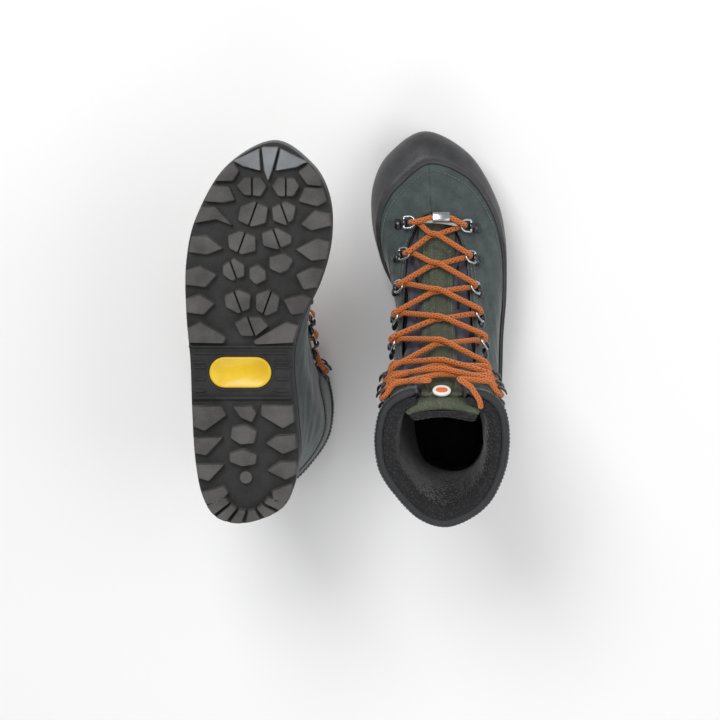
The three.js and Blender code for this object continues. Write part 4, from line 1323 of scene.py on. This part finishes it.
        def top(up: Array, across: Array) -> Array:
            """Puffed between the cross seams, pulled down at them and at the sides."""
            bars = np.abs(np.sin((up - 0.4) * 26))
            channel = 1.6 * (1 - np.exp(-((bars / 0.22) ** 2)))
            groove = 0.9 * np.exp(-(((np.abs(across) - 0.62) / 0.07) ** 2))
            crown = 1.2 * (1 - across**2)
            return -5.4 + channel + crown - groove - 1.2 * smoothstep(up, 0.85, 0.97)

        solid = self.slab(ups, half, top, np.full(ups.shape, self.pad_thick), 49)
        piece = solid.piece(self.place, "tongue_pad", TONGUE_LEATHER, replaces=["tongue_pad"])
        seam = Solid()
        line = np.linspace(0.43, 0.95, 120)
        for sign in (-1.0, 1.0):
            around = self.lateral(line, np.full(line.shape, sign * 0.86 * self.pad_half))
            stitch_row(seam, line, around, -3.6, pitch=3.4)
        seam.piece(self.place, "tongue_stitches", THREAD)

    def gusset(self) -> None:
        """The folded bellows at each side of the tongue, under the facings' edges."""
        ups = np.linspace(0.412, 0.955, 140)
        solid = Solid()
        for side in SIDES.values():
            inner = np.interp(ups, (0.41, 0.5, 0.6, 0.8, 0.97), (15.0, 15.5, 13.5, 14.0, 15.5))
            outer = np.maximum(np.interp(ups, THROAT_UPS, THROAT_HALVES) + 1.4, inner + 3)
            share = np.linspace(0, 1, 22)
            reach = inner[:, None] + (outer - inner)[:, None] * share
            up = np.broadcast_to(ups[:, None], reach.shape)
            around = LAST.around_at(up, side, reach)
            fold = 2.3 * np.sin(share * 9.5 + 1.1 * np.sin(up * 37 + side) + up * 21)
            crumple = 1.3 * np.sin(up * 73 + share * 5 + side * 1.7) * np.sin(share * np.pi)
            valley = -1.2 * np.sin(share * np.pi)
            points = LAST.off(up, around, -6.3 + fold * 0.75 + crumple + valley)
            quads = grid_quads(len(ups), 22, False, False)
            solid.add(points, quads if side < 0 else quads[:, ::-1])
        thicken(solid.piece(self.place, "gusset", GUSSET), self.gusset_wall)

    def plaque(self) -> None:
        """A plain oval plaque sewn to the top of the tongue, with a raised rim."""
        up, around = np.array(0.972), np.array(0.5)
        z = LAST.normal(up, around)
        x = unit(np.array([1.0, 0.0, 0.0]) - z * z[0])
        z = unit(z + np.array([0.0, 0.0, 0.9]))
        x = unit(x - z * x.dot(z))
        seat = frame_at(x, z, LAST.off(up, around, -3.2))
        oval = np.column_stack([np.cos(circle(40)) * 7.4, np.sin(circle(40)) * 5.0])
        reach = np.linalg.norm(oval, axis=1, keepdims=True)
        layers = (("plaque", 0.0, 1.3, PLAQUE), ("plaque_centre", 2.6, 1.7, PLAQUE_CENTRE))
        for part, shrink, high, finish in layers:
            rings = []
            for step, height in ((0.4, -1.6), (0.0, -1.2), (0.0, high - 0.4), (0.5, high)):
                plan = oval * (1 - (shrink + step) / reach)
                rings.append(moved(np.column_stack([plan, np.full(len(plan), height)]), seat))
            Solid().tube(np.array(rings)).piece(self.place, part, finish)

    def floor(self) -> None:
        """The insole board and the felted footbed on it."""
        sole = SoleUnit(self.place, smooth_steps=96)
        inset = self.floor_inset
        for part, low, thick, finish in (("insole_board", 0.0, 2.4, BOARD), ("footbed", 2.7, 4.5, FELT)):
            solid = Solid()
            sole.slab(solid, [
                (inset + 0.6, lambda y, h=low: LAST.feather(y) + h),
                (inset, lambda y, h=low: LAST.feather(y) + h + 0.5),
                (inset, lambda y, h=low + thick: LAST.feather(y) + h - 0.7),
                (inset + 0.9, lambda y, h=low + thick: LAST.feather(y) + h),
            ])
            solid.piece(self.place, part, finish, replaces=[part])


# ---------------------------------------------------------------------------------------------
# the lacing
# ---------------------------------------------------------------------------------------------
@dataclass
class Lacing:
    """Rings, clips, hooks, the tag and the lace, with sizes in mm."""

    place: Placement
    wire: float = 2.2
    lace: float = 4.6
    ring_lift: float = 6.8
    ring_reach: float = 9.5
    ring_width: float = 10.0
    eye: float = 4.4
    hook_plate: float = 1.2
    hook_post: float = 3.2
    bridge_around: float = 0.485
    ring_gap: float = 0.35
    hook_gap: float = 0.9
    hook_width: float = 6.4
    hook_thick: float = 1.1
    clip_thick: float = 0.9
    tag_half_width: float = 4.5
    tag_half_height: float = 3.5

    def build(self) -> None:
        """Makes all the hardware and the lace."""
        self.rings()
        self.clips()
        self.hooks()
        self.tag()
        self.strip()
        self.cord()

    def seat(self, row: int, side: float, lift: float) -> Array:
        """A row's frame on the skin."""
        outer, inner, half = ROWS[row]
        return LAST.seat(outer if side > 0 else inner, half, side, lift)

    def rings(self) -> None:
        """The D-rings, each a bent wire that swings about its straight side."""
        lead = self.ring_reach - self.ring_width / 2
        half = self.ring_width / 2
        bow = np.linspace(-np.pi / 2, np.pi / 2, 22)
        arc = np.column_stack([lead + np.cos(bow) * half, np.sin(bow) * half])
        corner = 1.4
        turn = np.linspace(0, np.pi / 2, 5)
        top = np.column_stack([corner - np.sin(turn) * corner, half - corner + np.cos(turn) * corner])
        bar = np.column_stack([np.zeros(5), np.linspace(half - corner, corner - half, 7)[1:-1]])
        bottom = top[::-1] * np.array([1.0, -1.0])
        flat = np.concatenate([arc, top, bar, bottom])
        path = np.column_stack([flat, np.zeros(len(flat))])
        for side_name, side in SIDES.items():
            for row in range(RING_ROWS):
                rings = tube_rings(path, self.wire / 2, 12, closed=True)
                node = f"ring_{side_name}_{row + 1}"
                solid = Solid().ring_grid(moved(rings, self.seat(row, side, self.ring_lift)))
                solid.piece(self.place, node, STEEL, body=self.place.name(node), replaces=[node])

    def dome(self, solid: Solid, seat: Array, x: float, base: float, radius: float,
             rise: float) -> None:
        """Adds a rivet head: a low dome with a stepped rim.

        Args:
            solid: Where to add it.
            seat: The frame that it stands in.
            x: Its place along the frame's x.
            base: The height of its rim.
            radius: Its radius.
            rise: Its height over the rim.
        """
        profile = ((0.02, rise), (0.3, rise * 0.96), (0.58, rise * 0.8), (0.8, rise * 0.52),
                   (0.9, rise * 0.3), (1.0, rise * 0.22), (1.03, rise * 0.1), (1.0, -0.8))
        angle = circle(24)
        rings = np.stack([
            np.column_stack([x + np.cos(angle) * r * radius, np.sin(angle) * r * radius,
                             np.full(24, base + z)])
            for r, z in profile[::-1]
        ])
        solid.tube(moved(rings, seat))

    def strap(self, solid: Solid, seat: Array, line: Array, width: float, thick: float) -> None:
        """Adds a bent metal strap: a rounded bar section carried along a line in the plane y = 0.

        Args:
            solid: Where to add it.
            seat: The frame that it is bent in.
            line: The middle of its section, as x and z of the frame.
            width: Its width, along the frame's y.
            thick: Its thickness.
        """
        along = unit(np.gradient(line, axis=0))
        out = np.column_stack([-along[:, 1], along[:, 0]])
        half, t, r = width / 2, thick / 2, thick * 0.35
        section = ((-half + r, -t), (half - r, -t), (half, -t + r), (half, t - r), (half - r, t),
                   (-half + r, t), (-half, t - r), (-half, -t + r))
        rings = np.stack([
            np.column_stack([line[:, 0] + out[:, 0] * z, np.full(len(line), y),
                             line[:, 1] + out[:, 1] * z])
            for y, z in section
        ], axis=1)
        solid.tube(moved(rings, seat))

    def clips(self) -> None:
        """Each ring's clip: a strap folded round the ring's bar, under a domed rivet."""
        solid = Solid()
        radius = self.wire / 2 + 0.75
        for side in SIDES.values():
            for row in range(RING_ROWS):
                seat = self.seat(row, side, self.ring_lift)
                angle = np.radians(np.linspace(200, -100, 18))
                roll = np.column_stack([np.cos(angle), np.sin(angle)]) * radius
                rise = np.linspace(1.0, 1.4, 6) - self.ring_lift
                lead = np.column_stack([np.linspace(-10.5, -3.6, 6), rise])
                line = np.concatenate([lead, np.array([[-2.8, -0.55 * self.ring_lift]]), roll])
                self.strap(solid, seat, line, self.eye + 1.0, self.clip_thick)
                self.dome(solid, seat, -7.0, 1.6 - self.ring_lift, 4.3, 2.6)
        solid.piece(self.place, "ring_clips", GUNMETAL)

    def hooks(self) -> None:
        """The open speed hooks, each a strap bent up and over the lace."""
        bend = ((-10.0, 0.7), (-6.0, 0.7), (-2.0, 0.75), (0.2, 0.9), (1.7, 1.7), (2.5, 3.4), (2.5, 5.8),
                (1.8, 7.7), (0.2, 8.8), (-2.4, 9.2), (-4.8, 9.0), (-6.4, 8.4))
        u = np.linspace(0, 1, 44)
        line = np.column_stack([spline([b[0] for b in bend], u), spline([b[1] for b in bend], u)])
        for side_name, side in SIDES.items():
            for row in range(RING_ROWS, len(ROWS)):
                node = f"hook_{side_name}_{row - RING_ROWS + 1}"
                seat = self.seat(row, side, 0.3)
                solid = Solid()
                self.strap(solid, seat, line, self.hook_width, self.hook_thick)
                self.dome(solid, seat, -8.2, 1.0, 3.6, 1.7)
                self.dome(solid, seat, -2.6, 9.4, 3.1, 1.1)
                solid.piece(self.place, node, GUNMETAL, replaces=[node])

    def turn(self, row: int, side: float) -> Array:
        """The lace's turn at a row: over and under a ring's far wire, or round a hook's post."""
        seat = self.seat(row, side, 0.0)
        if row < RING_ROWS:
            bend = (self.wire + self.lace) / 2 + self.ring_gap
            angle = np.radians(np.linspace(75, 285, 9))
            local = np.column_stack([
                self.ring_reach + np.cos(angle) * bend,
                np.linspace(-1, 1, 9),
                self.ring_lift + np.sin(angle) * bend,
            ])
            return moved(local, seat)
        bend = (self.hook_post + self.lace) / 2 + self.hook_gap
        angle = np.radians(np.linspace(70, 290, 9))
        lift = self.hook_plate + self.lace / 2 + 1.5
        local = np.column_stack([0.5 + np.cos(angle) * bend, -np.sin(angle) * bend, np.full(9, lift)])
        ends = np.array([[11.0, -bend * 0.9, lift + 2.4], [11.0, bend * 0.9, lift + 2.4]])
        return moved(np.concatenate([ends[:1], local, ends[1:]]), seat)

    def row_middle(self, row: int) -> Array:
        """The point halfway between a row's two pivots."""
        return (self.seat(row, 1.0, 0.0)[:3, 3] + self.seat(row, -1.0, 0.0)[:3, 3]) / 2

    def middle_up(self, target: Array) -> float:
        """The height share at which the skin's middle line comes nearest to a point."""
        ups = np.arange(0.3, 1.0, 0.005)
        apart = np.linalg.norm(LAST.skin(ups, np.full(ups.shape, 0.5)) - target, axis=1)
        return float(ups[apart.argmin()])

    def crossing(self, row: int, side: float, over: bool) -> Array:
        """Where a strand crosses the middle between two rows, over or under the other."""
        up = self.middle_up(self.row_middle(row) * 0.6 + self.row_middle(row + 1) * 0.4)
        lift = (6.6 if over else 1.4) + (0.0 if row < RING_ROWS - 1 else 4.0)
        around = 0.5 - np.array([0.006, -0.006]) * side
        return LAST.off(np.full(2, up), around, lift)

    def strand(self, first: float) -> Array:
        """One half of the lace, from the first row's turn up to the last row's."""
        points, side = [], first
        for row in range(len(ROWS)):
            points.append(self.turn(row, side))
            if row + 1 < len(ROWS):
                points.append(self.crossing(row, side, first * (1 if row % 2 else -1) > 0))
            side = -side
        return np.concatenate(points)

    def bridge(self) -> Array:
        """The straight stretch between the first row's rings, through the tag."""
        lift = self.ring_lift + (self.wire + self.lace) / 2
        centre = LAST.off(np.array(self.bridge_up), np.array(self.bridge_around), lift)
        return centre + np.array([[8.0, 0.0, 0.0], [-8.0, 0.0, 0.0]])

    @property
    def bridge_up(self) -> float:
        """The height share of the tag, just forward of the first row."""
        return self.middle_up(self.row_middle(0)) - 0.015

    def on_skin(self, points: Sequence[tuple[float, float, float]]) -> Array:
        """Points given as a height, a share around and a distance off the skin."""
        table = np.array(points)
        return LAST.off(table[:, 0], table[:, 1], table[:, 2])

    def cord(self) -> None:
        """The lace itself: tight straight strands, smoothed a little where they turn."""
        stub = ((0.985, 0.53, 7), (0.995, 0.56, 8))
        tail = ((0.99, 0.46, 9), (1.02, 0.42, 4), (1.022, 0.38, -6), (1.02, 0.355, -13))
        points = np.concatenate([
            self.on_skin(stub)[::-1], self.strand(1.0)[::-1], self.bridge(), self.strand(-1.0),
            self.on_skin(tail),
        ])
        run = run_along(points)
        count = int(run[-1] / 1.1)
        even = np.linspace(0, run[-1], count)
        path = np.stack([np.interp(even, run, points[:, k]) for k in range(3)], axis=1)
        kernel = np.array([1, 4, 6, 4, 1]) / 16
        for _ in range(2):
            longer = np.concatenate([path[:1].repeat(2, 0), path, path[-1:].repeat(2, 0)])
            path = np.stack([np.convolve(longer[:, k], kernel, "valid") for k in range(3)], axis=1)
        sides = 14
        radius = np.full(count, self.lace / 2)
        radius[:4] *= (0.35, 0.75, 0.95, 1.0)
        radius[-4:] *= (1.0, 0.95, 0.75, 0.35)
        rings = tube_rings(path, radius, sides)
        angle = np.arange(sides) / sides
        round_mm = math.pi * self.lace
        mirrored = round_mm * (1 - np.abs(2 * angle - 1))
        uv = np.stack(np.broadcast_arrays(even[:, None], mirrored[None, :]), axis=2)
        Solid().tube(rings, uv).piece(self.place, "lace", CORD, replaces=["lace"])
        LOG.info("%s is %.0f mm long", self.place.name("lace"), run[-1])

    def tag(self) -> None:
        """The flattened metal sleeve on the lace's first stretch."""
        ends = self.bridge()
        x = unit(ends[1] - ends[0])
        z = LAST.normal(np.array(self.bridge_up), np.array(self.bridge_around))
        z = unit(z - x * x.dot(z))
        seat = frame_at(x, z, ends.mean(axis=0))
        angle = circle(36)
        squareness = 0.55
        loop_y = np.sign(np.cos(angle)) * np.abs(np.cos(angle)) ** squareness
        loop_z = np.sign(np.sin(angle)) * np.abs(np.sin(angle)) ** squareness
        profile = ((-7.0, 0.86), (-7.2, 0.95), (-6.8, 1.0), (6.8, 1.0), (7.2, 0.95), (7.0, 0.86),
                   (0.0, 0.84))
        rings = np.stack([
            np.column_stack([np.full(36, along), loop_y * self.tag_half_width * share,
                             loop_z * self.tag_half_height * share])
            for along, share in profile
        ])
        solid = Solid().ring_grid(moved(rings, seat)[:, ::-1])
        solid.piece(self.place, "lace_tag", STEEL, replaces=["lace_tag"])

    def strip(self) -> None:
        """The light strip under the tag, from ring to ring."""
        left, right = (moved(np.array([[self.ring_reach + 3.5, 0.0, self.ring_lift]]),
                                  self.seat(0, side, 0.0))[0] for side in (-1.0, 1.0))
        share = np.linspace(0, 1, 24)[:, None]
        line = left + (right - left) * share
        line[:, 1] += 1.5 * np.sin(share[:, 0] * np.pi)
        line[:, 2] += 4.5 * np.sin(share[:, 0] * np.pi)
        Solid().tube(tube_rings(line, 1.3, 12, flat=0.5)).piece(
            self.place, "lacing_strip", STRIPE)


# ---------------------------------------------------------------------------------------------
# the scene
# ---------------------------------------------------------------------------------------------
@dataclass
class Studio:
    """A pale floor, soft light and the camera, in metres and degrees."""

    eye: tuple[float, float, float] = (0.006, 0.2175, 1.9)
    tilt: float = 7.9
    lens: float = 106.8
    floor_colour: str = "#f4f4f4"
    world_strength: float = 0.45

    def build(self) -> None:
        """Makes the camera, the floor and the lights."""
        scene = bpy.context.scene
        scene.view_settings.view_transform = "Standard"
        camera = bpy.data.cameras.new("camera")
        camera.lens = self.lens
        camera.sensor_width = 36.0
        holder = bpy.data.objects.new("camera", camera)
        holder.location = self.eye
        holder.rotation_euler = (-math.radians(self.tilt), 0.0, 0.0)
        scene.collection.objects.link(holder)
        scene.camera = holder
        self.floor()
        self.light("key", (-0.5, 0.9, 1.5), 0.8, 17.0)
        self.light("fill", (1.0, 0.1, 1.3), 1.2, 7.0)
        self.light("back", (0.1, -1.4, 1.1), 1.2, 7.0)
        world = bpy.data.worlds.new("studio")
        scene.world = world
        world.use_nodes = True
        background = world.node_tree.nodes["Background"]
        background.inputs["Color"].default_value = (1, 1, 1, 1)
        background.inputs["Strength"].default_value = self.world_strength

    def floor(self) -> None:
        """The floor: a wide pale sheet."""
        mesh = bpy.data.meshes.new("floor")
        half = 4.0
        mesh.from_pydata([(-half, -half, 0), (half, -half, 0), (half, half, 0), (-half, half, 0)], [],
                         [(0, 1, 2, 3)])
        floor = bpy.data.objects.new("floor", mesh)
        bpy.context.scene.collection.objects.link(floor)
        paper = bpy.data.materials.new("floor paper")
        paper.use_nodes = True
        shader = paper.node_tree.nodes["Principled BSDF"]
        shader.inputs["Base Color"].default_value = linear(self.floor_colour)
        shader.inputs["Roughness"].default_value = 0.9
        mesh.materials.append(paper)

    def light(self, name: str, place: tuple[float, float, float], size: float, power: float) -> None:
        """Adds a square soft light that points at the boots."""
        lamp = bpy.data.lights.new(name, "AREA")
        lamp.size = size
        lamp.energy = power
        holder = bpy.data.objects.new(name, lamp)
        holder.location = place
        way = Vector((0, 0, 0.1)) - Vector(place)
        holder.rotation_euler = way.to_track_quat("-Z", "Y").to_euler()
        bpy.context.scene.collection.objects.link(holder)


def main() -> None:
    """Builds the studio and both boots."""
    logging.basicConfig(level=logging.INFO, format="%(name)s: %(message)s")
    Studio().build()
    for stance in Stance:
        place = Placement.of(stance)
        for part in (SoleUnit(place), Upper(place), Comfort(place), Lacing(place)):
            part.build()


if __name__ == "__main__":
    main()
